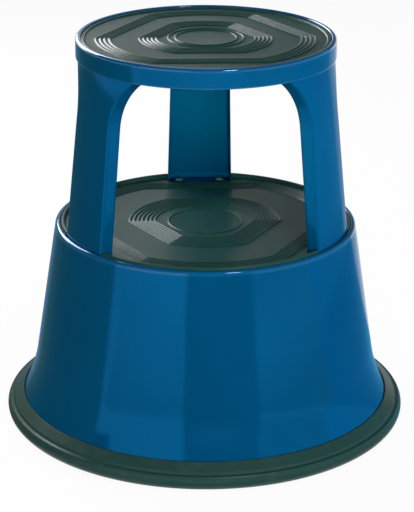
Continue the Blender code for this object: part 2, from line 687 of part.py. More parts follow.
def make_stem(side, place):
    """Sliding stem: guide end, spring collar, swivel shoulder, journal and clenched head."""
    top_z = UPPER_PLATE_TOP_Z + BUSH_TAIL + STEM_TAIL
    head_top_z = CROWN_BOTTOM_Z - CLEARANCE
    head_z = head_top_z - STEM_HEAD
    outline = [(0, top_z), (STEM_R - STEM_CHAMFER, top_z), (STEM_R, top_z - STEM_CHAMFER), (STEM_R, SPRING_Z)]
    outline += [(COLLAR_R, SPRING_Z), (COLLAR_R, COLLAR_Z), (STEM_R, COLLAR_Z), (STEM_R, SHOULDER_TOP_Z)]
    outline += [(STEM_SHOULDER_R, SHOULDER_TOP_Z), (STEM_SHOULDER_R, SHOULDER_Z), (STEM_R, SHOULDER_Z)]
    outline += [(STEM_R, head_top_z), (STEM_HEAD_R, head_top_z), (STEM_HEAD_R, head_z + STEM_CHAMFER)]
    outline += [(STEM_HEAD_R - STEM_CHAMFER, head_z), (0, head_z)]
    turned(f"castor_stem_{side}", outline, ZINC_STEEL, place, SMALL_SEGMENTS, closed=False)
    bore_r = STEM_R + CLEARANCE
    washer_top_z = WASHER_Z + WASHER_THICK
    washer = [(WASHER_R, washer_top_z), (WASHER_R, WASHER_Z), (bore_r, WASHER_Z), (bore_r, washer_top_z)]
    turned(f"swivel_washer_{side}", washer, ZINC_STEEL, place, SMALL_SEGMENTS)


def spring_path():
    """Points of an open helix that fills the space between the stem's collar and the upper bush."""
    start_z = SPRING_Z + CLEARANCE + SPRING_WIRE_R
    height = SPRING_SPACE - 2 * CLEARANCE - 2 * SPRING_WIRE_R
    count = round(SPRING_TURNS * SPRING_POINTS_PER_TURN)
    points = []
    for index in range(count + 1):
        share = index / count
        angle = 2 * math.pi * SPRING_TURNS * share
        x, y = SPRING_MEAN_R * math.cos(angle), SPRING_MEAN_R * math.sin(angle)
        points.append(Vector((x, y, start_z + height * share)))
    return points


def least_spring_gap(points):
    """Smallest gap between turns of the wire, measured between points over half a turn apart."""
    apart = SPRING_POINTS_PER_TURN // 2 + 1
    return min(
        (points[first] - points[second]).length - 2 * SPRING_WIRE_R
        for first in range(len(points))
        for second in range(first + apart, len(points))
    )


def make_spring(side, place):
    points = spring_path()
    curve = bpy.data.curves.new(f"castor_spring_{side}", "CURVE")
    curve.dimensions = "3D"
    curve.bevel_depth = SPRING_WIRE_R
    curve.bevel_resolution = SPRING_WIRE_ROUNDING
    curve.use_fill_caps = True
    spline = curve.splines.new("POLY")
    spline.points.add(len(points) - 1)
    for control, point in zip(spline.points, points):
        control.co = (*point, 1)
    new_object(f"castor_spring_{side}", curve, SPRING_STEEL, place)
    print(f"castor_spring_{side}: least gap to itself {least_spring_gap(points) / MM:.2f} mm")


def make_fork(side, place):
    """An inverted U: the side view is cut out of a block, and then the wheel's slot, axle and stem holes."""
    eye = (FORK_TRAIL, WHEEL_R)
    outline = [(-CROWN_HALF_LENGTH, CROWN_TOP_Z), (-CROWN_HALF_LENGTH, CROWN_BOTTOM_Z - FORK_SHEET)]
    outline += arc(eye, FORK_EYE_R, *FORK_EYE_ARC, FORK_EYE_STEPS)
    outline.append((CROWN_HALF_LENGTH, CROWN_TOP_Z))
    width = FORK_GAP + 2 * FORK_SHEET
    fork = extruded(f"castor_fork_{side}", outline, width, ZINC_STEEL, place)
    fork.rotation_euler = (math.pi / 2, 0, math.pi / 2)
    reach = CUT_THROUGH * (CROWN_HALF_LENGTH + FORK_TRAIL)
    slot = box_cutter(
        f"fork_slot_{side}", (FORK_GAP, reach, 2 * WHEEL_R), (0, 0, CROWN_BOTTOM_Z - WHEEL_R), place
    )
    stem_hole = round_cutter(
        f"stem_hole_{side}", STEM_R + CLEARANCE, CUT_THROUGH * FORK_SHEET, (0, 0, CROWN_TOP_Z), place
    )
    axle_hole = round_cutter(
        f"axle_hole_{side}", AXLE_R + CLEARANCE, 2 * width, (0, FORK_TRAIL, WHEEL_R), place, "X"
    )
    for cutter in (slot, stem_hole, axle_hole):
        combine(fork, cutter, "DIFFERENCE")


def make_wheel(side, place):
    """Axle, wheel core and tyre, turned about the axle and laid along the castor's +X."""
    inner = FORK_GAP / 2
    outer = inner + FORK_SHEET + CLEARANCE
    axle = [(0, outer + AXLE_HEAD), (AXLE_HEAD_R, outer + AXLE_HEAD), (AXLE_HEAD_R, outer), (AXLE_R, outer)]
    axle += [(radius, -height) for radius, height in reversed(axle)]
    half = TYRE_WIDTH / 2
    bore_r = AXLE_R + CLEARANCE
    hub_end = inner - CLEARANCE
    rim_r = WHEEL_CORE_R - WHEEL_RIM
    core = [(HUB_R, hub_end), (HUB_R, WHEEL_WEB / 2), (rim_r, WHEEL_WEB / 2)]
    core += [(rim_r + WHEEL_RIM_DRAFT, half), (WHEEL_CORE_R, half)]
    core += [(radius, -height) for radius, height in reversed(core)]
    core += [(bore_r, -hub_end), (bore_r, hub_end)]
    tyre_bore_r = WHEEL_CORE_R + CLEARANCE
    tyre = [(tyre_bore_r, half), (WHEEL_R - TYRE_SHOULDER, half)]
    tyre += [(WHEEL_R - TYRE_CROWN, half - TYRE_SHOULDER / 2), (WHEEL_R, TYRE_TREAD / 2)]
    tyre += [(radius, -height) for radius, height in reversed(tyre)]
    pieces = [
        turned(f"wheel_axle_{side}", axle, ZINC_STEEL, place, SMALL_SEGMENTS, closed=False),
        turned(f"wheel_core_{side}", core, WHEEL_PLASTIC, place, WHEEL_SEGMENTS),
        turned(f"wheel_tyre_{side}", tyre, TYRE_RUBBER, place, WHEEL_SEGMENTS),
    ]
    for piece in pieces:
        piece.location = (0, FORK_TRAIL, WHEEL_R)
        piece.rotation_euler = (0, math.pi / 2, 0)


def main():
    make_drum()
    make_bumper()
    make_cap()
    make_top_mat()
    make_lower_mat()
    rivet_holes = []
    for side, azimuth in LEG_AZIMUTHS.items():
        rivet_holes += make_leg(side, azimuth)
        place = station(f"castor_station_{side}", azimuth, CASTOR_PITCH_R)
        for make in (make_bracket, make_bushes, make_stem, make_spring, make_fork, make_wheel):
            make(side, place)
    make_deck(rivet_holes)


main()
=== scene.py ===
"""Looks of the rolling step stool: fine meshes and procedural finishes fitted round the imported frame."""

import json
import math

import bmesh
import bpy
from mathutils import Matrix, Vector


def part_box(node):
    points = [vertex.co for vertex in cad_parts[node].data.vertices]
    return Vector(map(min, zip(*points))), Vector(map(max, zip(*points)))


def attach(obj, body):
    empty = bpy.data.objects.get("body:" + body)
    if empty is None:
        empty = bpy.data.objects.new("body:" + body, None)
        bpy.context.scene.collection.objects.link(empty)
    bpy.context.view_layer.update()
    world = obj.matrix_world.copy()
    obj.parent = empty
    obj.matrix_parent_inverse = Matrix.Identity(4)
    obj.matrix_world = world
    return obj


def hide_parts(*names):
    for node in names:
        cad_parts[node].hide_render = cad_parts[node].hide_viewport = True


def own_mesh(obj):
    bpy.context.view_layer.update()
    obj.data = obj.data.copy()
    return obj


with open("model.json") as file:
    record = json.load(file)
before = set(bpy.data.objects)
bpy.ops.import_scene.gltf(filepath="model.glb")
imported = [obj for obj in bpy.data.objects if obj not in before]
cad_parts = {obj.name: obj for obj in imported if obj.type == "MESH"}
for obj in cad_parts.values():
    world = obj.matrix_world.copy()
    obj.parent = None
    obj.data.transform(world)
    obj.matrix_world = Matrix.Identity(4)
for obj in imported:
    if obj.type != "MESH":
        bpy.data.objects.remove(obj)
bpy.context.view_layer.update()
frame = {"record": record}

MM = 0.001
SIDES = {"back": 90, "left": 210, "right": 330}

# Facets
ROUND = 192
MAT_ROUND = 288
SMALL_ROUND = 40
SWEEP_ROUND = 96
BEND = 6
WALL_STEPS = 8
FLANGE_STEPS = 4
FORK_STEPS = 8
PANEL_STEPS = 12

# Mesh work: distance for welding points, shortest edge kept, angle from which an edge counts as sharp,
# and the largest share of a side that a fillet takes
WELD = 0.002 * MM
TINY_EDGE = 0.001 * MM
SHARP_ANGLE = math.radians(50)
FILLET_SHARE = 0.45

# Pressed sheet and fits
SHEET = 1.2 * MM
CLEARANCE = 0.3 * MM
FINE_FILLET = 0.4 * MM

# Drum, from the frame's boxes and its own bends
STEP_RIM_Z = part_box("lower_drum")[1].z
HEM_BOTTOM_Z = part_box("lower_drum")[0].z
DECK_TOP_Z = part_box("lower_deck")[1].z
COLLAR_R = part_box("lower_deck")[1].x + CLEARANCE
STEP_RIM_WIDTH = 5.7 * MM
DRUM_TOP_R = COLLAR_R + STEP_RIM_WIDTH
STEP_RIM_CORNER = 3.5 * MM
RIM_INNER_BEND = 1.6 * MM
COLLAR_DEPTH = 16 * MM
DRUM_TAPER = math.radians(8.8)
FLARE_TOP_Z = 75 * MM
FLARE_RADIUS = 150 * MM
FLARE_END_Z = 28 * MM
HEM_BEND = 12 * MM
DECK_EDGE_BEND = 2 * MM

# Bumper ring
BUMPER_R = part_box("bumper_ring")[1].x
BUMPER_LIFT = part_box("bumper_ring")[0].z
BUMPER_LIP = 1.2 * MM
BUMPER_LIP_FILLET = 0.5 * MM
BUMPER_RIDGE_OUT = 11.5 * MM
BUMPER_RIDGE_DROP = 7 * MM
BUMPER_RIDGE_FILLET = 0.9 * MM
BUMPER_GROOVE_OUT = 1.4 * MM
BUMPER_GROOVE_DROP = 2.4 * MM
BUMPER_GROOVE_FILLET = 0.5 * MM
BUMPER_BULGE_R = 9.5 * MM
BUMPER_BULGE_START = math.radians(45)
BUMPER_BULGE_FILLET = 0.8 * MM
BUMPER_INNER_WALL = 4 * MM

# Top cap
STOOL_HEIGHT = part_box("top_cap")[1].z
SKIRT_BOTTOM_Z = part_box("top_cap")[0].z
CAP_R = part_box("top_cap")[1].x
CAP_COLLAR_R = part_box("top_tread_mat")[1].x + CLEARANCE
CAP_PAN_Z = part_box("top_tread_mat")[0].z - CLEARANCE
CAP_RIM_CORNER = 3 * MM
SKIRT_EDGE = 0.5 * MM

# Legs
LEG_FOOT_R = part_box("leg_back")[1].y
LEG_BOTTOM_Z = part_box("leg_back")[0].z
LEG_TOP_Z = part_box("leg_back")[1].z
LEG_TOP_R = CAP_R - SHEET - 2 * CLEARANCE
LEG_HALF_ANGLE = math.radians(13.45)
LEG_FLANGE = 14 * MM
LEG_BEND = 3 * MM
LEG_DRAW_IN = 1.9 * MM
LEG_DRAW_LENGTH = 67 * MM
ARCH_RADIUS = 64 * MM
ARCH_RISE = 11 * MM
ARCH_CENTRE_Z = SKIRT_BOTTOM_Z + ARCH_RISE - ARCH_RADIUS
LEG_ROWS = 40
LEG_FACE_STEPS = 20

# Foot tabs and their rivets, whose domes end at a small angle above their edge
FOOT_TAB_THICK = 2 * MM
FOOT_TAB_DEPTH = 15 * MM
FOOT_TAB_HALF_WIDTH = 31 * MM
FOOT_TAB_CORNER = 5 * MM
RIVET_R = 2.5 * MM
RIVET_HEAD_R = 5 * MM
RIVET_HEAD = 3.2 * MM
RIVET_DOME_END = 0.1
RIVET_TAIL = 1.2 * MM
RIVET_FILLET = 0.2 * MM
RIVET_HALF_SPACING = 23.5 * MM

# Castors, whose heights come from the frame
CASTOR_PITCH_R = sum(corner.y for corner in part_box("castor_stem_back")) / 2
STEM_R = 5 * MM
STEM_HEAD_R = 6.5 * MM
STEM_HEAD = 2.4 * MM
STEM_SHOULDER_R = 10 * MM
STEM_SHOULDER = 2.5 * MM
STEM_COLLAR_R = 9.5 * MM
STEM_COLLAR = 3 * MM
STEM_CHAMFER = 1 * MM
WASHER_R = 11 * MM
BORE_R = STEM_R + CLEARANCE
BUSH_SLEEVE_R = BORE_R + 1.6 * MM
BUSH_FLANGE_R = 10 * MM
BUSH_FLANGE = 2 * MM
BRACKET_SHEET = 2.5 * MM
BRACKET_BEND = 5 * MM
BRACKET_HALF_WIDTH = 22 * MM
BRACKET_NOSE = 16 * MM
SPRING_WIRE_R = 1.1 * MM
SPRING_MEAN_R = 8 * MM
SPRING_OPEN_TURNS = 5.5
SPRING_END_TURNS = 1
SPRING_END_PITCH = 2.05 * SPRING_WIRE_R
SPRING_TURN_STEPS = 28
SPRING_WIRE_STEPS = 10
FORK_GAP = 20 * MM
FORK_SHEET = 2.2 * MM
FORK_BEND = 4.5 * MM
FORK_TRAIL = 15 * MM
FORK_EYE_R = 7 * MM
FORK_EYE_ENDS = (math.radians(215), math.radians(15))
CROWN_HALF_LENGTH = 14 * MM
AXLE_R = 3 * MM
AXLE_HEAD_R = 4.6 * MM
AXLE_HEAD = 1.8 * MM
WHEEL_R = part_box("wheel_tyre_back")[1].z / 2
AXLE_LINE = Matrix.Translation((0, FORK_TRAIL, WHEEL_R)) @ Matrix.Rotation(math.pi / 2, 4, "Y")
TYRE_WIDTH = 17 * MM
TYRE_SHOULDER = 3.4 * MM
WHEEL_CORE_R = 14 * MM
WHEEL_RIM = 2.5 * MM
WHEEL_WEB = 7.6 * MM
HUB_R = 6 * MM

# Tread mats: lips as (width, height), and rib sets as (outside, pitch, count) in shares of the mat's radius
TOP_MAT_FIELD = 4.2 * MM
TOP_MAT_LIP = (5 * MM, 1.4 * MM)
TOP_CHORD_AZIMUTH = 30
TOP_RIBS = ((0.8965, 0.0363, 4), (0.5472, 0.0333, 5))
TOP_RINGS = (0.3023, 0.2457)
STEP_MAT_FIELD = 3.8 * MM
STEP_MAT_LIP = (5 * MM, 4.8 * MM)
STEP_CHORD_AZIMUTH = 90
STEP_RIBS = ((0.948, 0.0235, 6), (0.5365, 0.0292, 7))
STEP_RINGS = (0.2536,)
CHORD_SPACING = 120
CHORD_HALF_ANGLE = 30
RIB_HEIGHT = 1.1 * MM
RING_WIDTH = 3 * MM
LIP_EDGE_FILLET = 1.5 * MM
LIP_TOP_FILLET = 1 * MM
LIP_FOOT_FILLET = 0.8 * MM
MAT_SLOT_GAP = 1 * MM
MAT_SLOT_REACH = 12 * MM

# Half sections from foot to crest, in shares of a rib's pitch or of half a ring's width, and of the height
RIB_SECTION = ((0.46, 0.0), (0.3, 0.45), (0.17, 0.93), (0.0, 1.0))
RING_SECTION = ((1.0, 0.0), (0.7, 0.6), (0.35, 0.95), (0.0, 1.0))

# Enamel: heights between which its coat is thicker, at both rims and the cap's lower edge, and by how much.
# Its metallic share is lower there too.
GLOSS_BANDS = (
    (STEP_RIM_Z - 5 * MM, STEP_RIM_Z + 2 * MM, 0.6),
    (STOOL_HEIGHT - 4 * MM, STOOL_HEIGHT + 2 * MM, 1.0),
    (SKIRT_BOTTOM_Z - 0.6 * MM, SKIRT_BOTTOM_Z + 1.6 * MM, 1.0),
)
ENAMEL_METAL = 0.5
BAND_METAL_LOSS = 0.2

# Camera, fitted to the photograph's ellipses
FOCAL_PIXELS = 1977.55
FRAME_WIDTH, FRAME_HEIGHT = 414, 512
CAMERA_AWAY = 2034.8 * MM
CAMERA_HEIGHT = 947.68 * MM
CAMERA_DIP = math.radians(20.706)
CAMERA_ROLL = math.radians(0.2526)
STOOL_TURN = math.radians(2.88)
AXIS_PIXEL_X = 205.21
SENSOR = 36.0

# Studio sweep, and how much of it is plain white to the camera and in reflections
SWEEP_R = 7.0
SWEEP_BEND = 1.0
SWEEP_TOP_Z = 1.6
SWEEP_WHITE = 0.95

# Lamps
LAMP_AWAY = 2.0
WINDOW_AWAY = 1.6
STOOL_MIDDLE = (0, 0, STOOL_HEIGHT / 2)
BACK_LEG_AIM = (0, LEG_FOOT_R, 310 * MM)
TREAD_AIM = (0, 10 * MM, DECK_TOP_Z)

# Panels that only glossy pieces see: the azimuths between which they stand, and their radii and heights
FRONT_LEFT = (209, 255)
CAMERA_SIDE = (255, 299)
FRONT_RIGHT = (299, 345)
FAR_RIGHT = (345, 400)
BACK_LOW = (84, 112)
BACK_HIGH = (86, 112)
PANEL_R = 1.9
PANEL_TOP_Z = 1.4
PANEL_INNER_R = 0.224
PANEL_LIFT = 1 * MM
NEAR_R = 1.0
CAMERA_FLAG_TOP_Z = 0.15
BACK_HEIGHTS = (0.5, 0.98, 1.2)

# Left flag, and the line along which it ends, which the drum's left edge mirrors: its azimuth and its
# distance from the stool's axis
LEFT_RADII = (PANEL_INNER_R, 0.26, 0.3, 0.38, 0.5)
LEFT_TOP_Z = 0.36
LEFT_END = 100
LIMB_AZIMUTH = 113.8
LIMB_OFFSET = 186 * MM

# Floor in front as glossy pieces see it: rings of (inside, outside, grey on the left, grey on the right)
FLOOR_RINGS = ((PANEL_INNER_R, 0.8, 0.58, 0.36), (0.8, 1.1, 0.68, 0.52), (1.1, PANEL_R, 0.8, 0.72))


class Wire:
    """A node's output, on which ordinary arithmetic adds Math nodes."""

    def __init__(self, finish, socket):
        self.finish = finish
        self.socket = socket

    def maths(self, operation, left, right):
        return self.finish.add("ShaderNodeMath", {"operation": operation}, {0: left, 1: right})

    def __add__(self, other):
        return self.maths("ADD", self, other)

    def __radd__(self, other):
        return self.maths("ADD", other, self)

    def __sub__(self, other):
        return self.maths("SUBTRACT", self, other)

    def __rsub__(self, other):
        return self.maths("SUBTRACT", other, self)

    def __mul__(self, other):
        return self.maths("MULTIPLY", self, other)

    def __rmul__(self, other):
        return self.maths("MULTIPLY", other, self)


class Finish:
    """A material made of nodes, all of them added by one method."""

    def __init__(self, name):
        self.material = bpy.data.materials.new(name)
        self.material.use_nodes = True
        self.tree = self.material.node_tree
        self.tree.nodes.clear()

    def add(self, kind, settings=None, sockets=None, output=0):
        node = self.tree.nodes.new(kind)
        for key, value in (settings or {}).items():
            setattr(node, key, value)
        for key, value in (sockets or {}).items():
            if isinstance(value, Wire):
                self.tree.links.new(value.socket, node.inputs[key])
            else:
                node.inputs[key].default_value = value
        return Wire(self, node.outputs[output]) if node.outputs else None

    def place(self):
        return self.add("ShaderNodeTexCoord", output="Object")

    def noise(self, scale, detail=2.0, roughness=0.5):
        sockets = {"Vector": self.place(), "Scale": scale, "Detail": detail, "Roughness": roughness}
        return self.add("ShaderNodeTexNoise", None, sockets)

    def cells(self, scale):
        return self.add("ShaderNodeTexVoronoi", None, {"Vector": self.place(), "Scale": scale})

    def between(self, value, low, high):
        """0 below low, 1 above high, and a smooth step from one to the other."""
        sockets = {"Value": value, "From Min": low, "From Max": high}
        return self.add("ShaderNodeMapRange", {"interpolation_type": "SMOOTHSTEP"}, sockets)

    def mix(self, share, first, second):
        """A blend of two colours, which go in by sockets 6 and 7 of the node and come out by output 2."""
        sockets = {"Factor": share, 6: first, 7: second}
        return self.add("ShaderNodeMix", {"data_type": "RGBA"}, sockets, output=2)

    def bump(self, height, strength, depth):
        sockets = {"Height": height, "Strength": strength, "Distance": depth}
        return self.add("ShaderNodeBump", None, sockets)

    def surface(self, sockets):
        shader = self.add("ShaderNodeBsdfPrincipled", None, sockets)
        self.add("ShaderNodeOutputMaterial", None, {"Surface": shader})
        return self.material


def colour(red, green, blue):
    return (red, green, blue, 1)


def blue_enamel():
    """Gloss stove enamel on pressed steel, with a faint orange peel and a thicker coat round the rims."""
    paint = Finish("blue_enamel")
    height = paint.add("ShaderNodeSeparateXYZ", None, {"Vector": paint.place()}, output="Z")
    coat = 0.02 + paint.noise(30, 2) * 0.02
    metal = ENAMEL_METAL
    for low, high, weight in GLOSS_BANDS:
        band = paint.between(height, low, low + MM) - paint.between(height, high - MM, high)
        coat = coat + band * weight
        metal = metal - band * BAND_METAL_LOSS
    depth = paint.between(paint.noise(9, 3), 0.35, 0.7)
    return paint.surface({
        "Base Color": paint.mix(depth, colour(0.0, 0.088, 0.225), colour(0.0, 0.094, 0.24)),
        "Metallic": metal,
        "Roughness": 0.1 + paint.noise(40, 3) * 0.04,
        "Specular IOR Level": 0.06,
        "Specular Tint": colour(0.45, 0.75, 1.0),
        "Coat Weight": coat,
        "Coat Roughness": 0.05,
        "Normal": paint.bump(paint.noise(260, 1), 0.02, 0.4 * MM),
    })


def bumper_rubber():
    """Smooth black-green rubber with paler scuffs."""
    rubber = Finish("bumper_rubber")
    scuff = rubber.between(rubber.noise(60, 4, 0.6), 0.5, 0.75)
    return rubber.surface({
        "Base Color": rubber.mix(scuff, colour(0.013, 0.045, 0.04), colour(0.019, 0.053, 0.047)),
        "Roughness": 0.28 + rubber.noise(25, 3) * 0.1,
        "Specular IOR Level": 0.2,
        "Normal": rubber.bump(rubber.noise(1500, 2), 0.08, 0.3 * MM),
    })


def mat_rubber():
    """Ribbed tread rubber with a fine moulded grain and paler, dusty patches."""
    rubber = Finish("mat_rubber")
    dust = rubber.between(rubber.noise(35, 4, 0.6), 0.4, 0.75)
    grain = rubber.cells(900) + rubber.noise(2200, 1) * 0.6
    return rubber.surface({
        "Base Color": rubber.mix(dust, colour(0.0095, 0.05, 0.042), colour(0.014, 0.057, 0.049)),
        "Roughness": 0.29 + rubber.noise(120, 2) * 0.1,
        "Specular IOR Level": 0.16,
        "Normal": rubber.bump(grain, 0.3, 0.3 * MM),
    })


def plated_steel(name, tint, roughness):
    """Zinc plate or spring steel: small crystal patches and fine drawn marks."""
    steel = Finish(name)
    patches = steel.cells(420)
    pale = tuple(min(1, part * 1.2) for part in tint)
    return steel.surface({
        "Base Color": steel.mix(patches, colour(*tint), colour(*pale)),
        "Metallic": 1.0,
        "Roughness": roughness + steel.noise(300, 3) * 0.15,
        "Normal": steel.bump(steel.noise(900, 2), 0.1, 0.1 * MM),
    })


def moulded(name, dark, pale, roughness, grain):
    """Moulded plastic or tyre rubber with a fine texture."""
    plastic = Finish(name)
    shade = plastic.between(plastic.noise(90, 4), 0.35, 0.7)
    return plastic.surface({
        "Base Color": plastic.mix(shade, colour(*dark), colour(*pale)),
        "Roughness": roughness + plastic.noise(200, 2) * 0.12,
        "Normal": plastic.bump(plastic.noise(grain, 2), 0.15, 0.1 * MM),
    })


FINISHES = {
    "blue_paint": blue_enamel(),
    "bumper_rubber": bumper_rubber(),
    "mat_rubber": mat_rubber(),
    "zinc_steel": plated_steel("zinc_plate", (0.55, 0.56, 0.55), 0.3),
    "spring_steel": plated_steel("spring_wire", (0.3, 0.3, 0.31), 0.28),
    "nylon": moulded("natural_nylon", (0.68, 0.66, 0.58), (0.76, 0.74, 0.67), 0.42, 700),
    "wheel_plastic": moulded("wheel_plastic", (0.035, 0.035, 0.036), (0.06, 0.06, 0.06), 0.42, 800),
    "tyre_rubber": moulded("tyre_rubber", (0.15, 0.15, 0.15), (0.22, 0.22, 0.215), 0.62, 1200),
}


def arc(centre, radius, start, end, steps=BEND):
    points = []
    for step in range(steps + 1):
        angle = start + (end - start) * step / steps
        points.append((centre[0] + radius * math.cos(angle), centre[1] + radius * math.sin(angle)))
    return points


def offset_path(path, distance):
    """The path moved to its right-hand side, with mitred corners."""
    moved = []
    for index, point in enumerate(path):
        here = Vector(point)
        before = here - Vector(path[index - 1]) if index else None
        after = Vector(path[index + 1]) - here if index + 1 < len(path) else None
        steps = [step for step in (before, after) if step is not None]
        sides = [Vector((step.y, -step.x)).normalized() for step in steps]
        normal = sum(sides, Vector((0, 0))).normalized()
        moved.append(tuple(here + normal * (distance / normal.dot(sides[0]))))
    return moved


def sheet_outline(path, thickness=SHEET):
    """Closed outline of bent sheet whose good side follows the path and whose metal lies to its right."""
    return path + offset_path(path, thickness)[::-1]


def filleted(corners, after):
    """The first corner, then each (radius, height, fillet) rounded; after is the point that follows."""
    points = [corners[0][:2]]
    following = [corner[:2] for corner in corners[2:]] + [after]
    for (x, z, fillet), ahead in zip(corners[1:], following):
        here, back, on = Vector((x, z)), Vector(points[-1]), Vector(ahead)
        into, out = (back - here).normalized(), (on - here).normalized()
        half = into.angle(out) / 2
        longest = FILLET_SHARE * min((back - here).length, (on - here).length)
        reach = min(fillet / math.tan(half), longest)
        middle = (into + out).normalized()
        radius = reach * math.tan(half)
        centre = here + middle * (reach / math.cos(half))
        start, end = here + into * reach - centre, here + out * reach - centre
        turn = start.angle_signed(end)
        first = math.atan2(start.y, start.x)
        points += arc(tuple(centre), radius, first, first - turn)
    return points


def rounded(outline, fillet, closed=True):
    """The outline with its corners rounded; an open one keeps its first and last points."""
    if closed:
        start = tuple((first + last) / 2 for first, last in zip(outline[0], outline[-1]))
        return filleted([(*start, 0)] + [(*point, fillet) for point in outline], start)
    corners = [(*outline[0], 0)] + [(*point, fillet) for point in outline[1:-1]]
    return filleted(corners, outline[-1]) + [outline[-1]]


def new_object(name, data):
    obj = bpy.data.objects.new(name, data)
    bpy.context.scene.collection.objects.link(obj)
    return obj


def even_normals(obj):
    """Flat faces keep flat shading beside the small bends that round their edges."""
    weighted = obj.modifiers.new("even_normals", "WEIGHTED_NORMAL")
    weighted.keep_sharp = True


def thicken(obj, name, thickness):
    """Gives a bent surface the thickness of its sheet, on its inner side."""
    shell = obj.modifiers.new(name, "SOLIDIFY")
    shell.thickness = thickness
    shell.offset = -1
    shell.use_even_offset = True


def soften(obj, width):
    """Breaks the sharp edges of a pressed piece."""
    bevel = obj.modifiers.new("broken_edges", "BEVEL")
    bevel.width = width
    bevel.segments = 2
    bevel.limit_method = "ANGLE"
    bevel.angle_limit = SHARP_ANGLE
    even_normals(obj)


def grid_mesh(name, rows, wrap_rows=False, wrap_columns=False):
    """A mesh of quads over rows of points."""
    mesh = bpy.data.meshes.new(name)
    work = bmesh.new()
    points = [[work.verts.new(point) for point in row] for row in rows]
    across = len(rows[0])
    for row in range(len(rows) if wrap_rows else len(rows) - 1):
        here, above = points[row], points[(row + 1) % len(rows)]
        for column in range(across if wrap_columns else across - 1):
            beside = (column + 1) % across
            work.faces.new((here[column], above[column], above[beside], here[beside])).smooth = True
    bmesh.ops.remove_doubles(work, verts=work.verts, dist=WELD)
    bmesh.ops.dissolve_degenerate(work, edges=work.edges, dist=TINY_EDGE)
    bmesh.ops.recalc_face_normals(work, faces=work.faces)
    work.to_mesh(mesh)
    work.free()
    return mesh


def turned(name, outline, segments=ROUND, closed=True):
    """A body turned about Z from a profile of (radius, height)."""
    angles = [2 * math.pi * step / segments for step in range(segments)]
    rows = [[(r * math.cos(a), r * math.sin(a), z) for a in angles] for r, z in outline]
    obj = new_object(name, grid_mesh(name, rows, wrap_rows=closed, wrap_columns=True))
    even_normals(obj)
    return obj


def small_turned(name, outline, place, closed=True, fillet=FINE_FILLET):
    """A small turned piece with rounded corners, set at its place."""
    obj = turned(name, rounded(outline, fillet, closed), SMALL_ROUND, closed)
    obj.data.transform(place)
    return obj


def extruded(name, outline, low, high):
    """A prism over a flat outline, between two heights."""
    work = bmesh.new()
    base = work.faces.new([work.verts.new((x, y, low)) for x, y in outline])
    grown = bmesh.ops.extrude_face_region(work, geom=[base])["geom"]
    tops = [point for point in grown if isinstance(point, bmesh.types.BMVert)]
    bmesh.ops.translate(work, verts=tops, vec=(0, 0, high - low))
    bmesh.ops.recalc_face_normals(work, faces=work.faces)
    mesh = bpy.data.meshes.new(name)
    work.to_mesh(mesh)
    work.free()
    return new_object(name, mesh)


def cut(obj, cutter, place):
    """Takes the cutter, set at its place, out of the piece, whose modifiers become part of its mesh."""
    cutter.data.transform(place)
    boolean = obj.modifiers.new("cut", "BOOLEAN")
    boolean.operation = "DIFFERENCE"
    boolean.solver = "MANIFOLD"
    boolean.object = cutter
    bpy.context.view_layer.update()
    graph = bpy.context.evaluated_depsgraph_get()
    left = bpy.data.meshes.new_from_object(obj.evaluated_get(graph))
    obj.modifiers.clear()
    obj.data = left
    bpy.data.objects.remove(cutter)


def drill(obj, radius, place, reach):
    """A round hole along Z of the place."""
    circle = arc((0, 0), radius, 0, 2 * math.pi, SMALL_ROUND)[:-1]
    cut(obj, extruded("drill", circle, -reach, reach), place)


def turn_to(azimuth):
    return Matrix.Rotation(math.radians(azimuth), 4, "Z")


def span(node):
    """Lowest and highest Z of a frame node."""
    low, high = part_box(node)
    return low.z, high.z


def dress(obj, slot, body, *nodes):
    """Gives a piece its finish and its body, and lets it stand for these frame nodes."""
    obj.data.materials.clear()
    obj.data.materials.append(FINISHES[slot])
    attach(obj, body)
    if nodes:
        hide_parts(*nodes)


def drum_wall():
    """Good side of the drum: inner collar, rim, cone and flare, and then its hem."""
    path = [(COLLAR_R, STEP_RIM_Z - COLLAR_DEPTH)]
    inner_bend = (COLLAR_R + RIM_INNER_BEND, STEP_RIM_Z - RIM_INNER_BEND)
    corner = (DRUM_TOP_R - STEP_RIM_CORNER, STEP_RIM_Z - STEP_RIM_CORNER)
    path += arc(inner_bend, RIM_INNER_BEND, math.pi, math.pi / 2)
    path += arc(corner, STEP_RIM_CORNER, math.pi / 2, DRUM_TAPER)
    top = path[-1]
    for step in range(1, WALL_STEPS):
        height = top[1] + (FLARE_TOP_Z - top[1]) * step / WALL_STEPS
        path.append((top[0] + (top[1] - height) * math.tan(DRUM_TAPER), height))
    flare_top = (top[0] + (top[1] - FLARE_TOP_Z) * math.tan(DRUM_TAPER), FLARE_TOP_Z)
    flare_centre = (
        flare_top[0] + FLARE_RADIUS * math.cos(DRUM_TAPER),
        flare_top[1] + FLARE_RADIUS * math.sin(DRUM_TAPER),
    )
    lean = math.asin((flare_centre[1] - FLARE_END_Z) / FLARE_RADIUS)
    path += arc(flare_centre, FLARE_RADIUS, math.pi + DRUM_TAPER, math.pi + lean, 3 * BEND)
    edge = path[-1]
    hem_centre = (edge[0] - HEM_BEND * math.cos(lean), edge[1] - HEM_BEND * math.sin(lean))
    hem = arc(hem_centre, HEM_BEND, lean, 0)
    hem.append((hem[-1][0], HEM_BOTTOM_Z))
    return path, hem


def make_drum():
    path, hem = drum_wall()
    dress(turned("drum_shell", sheet_outline(path + hem[1:])), "blue_paint", "stool", "lower_drum")


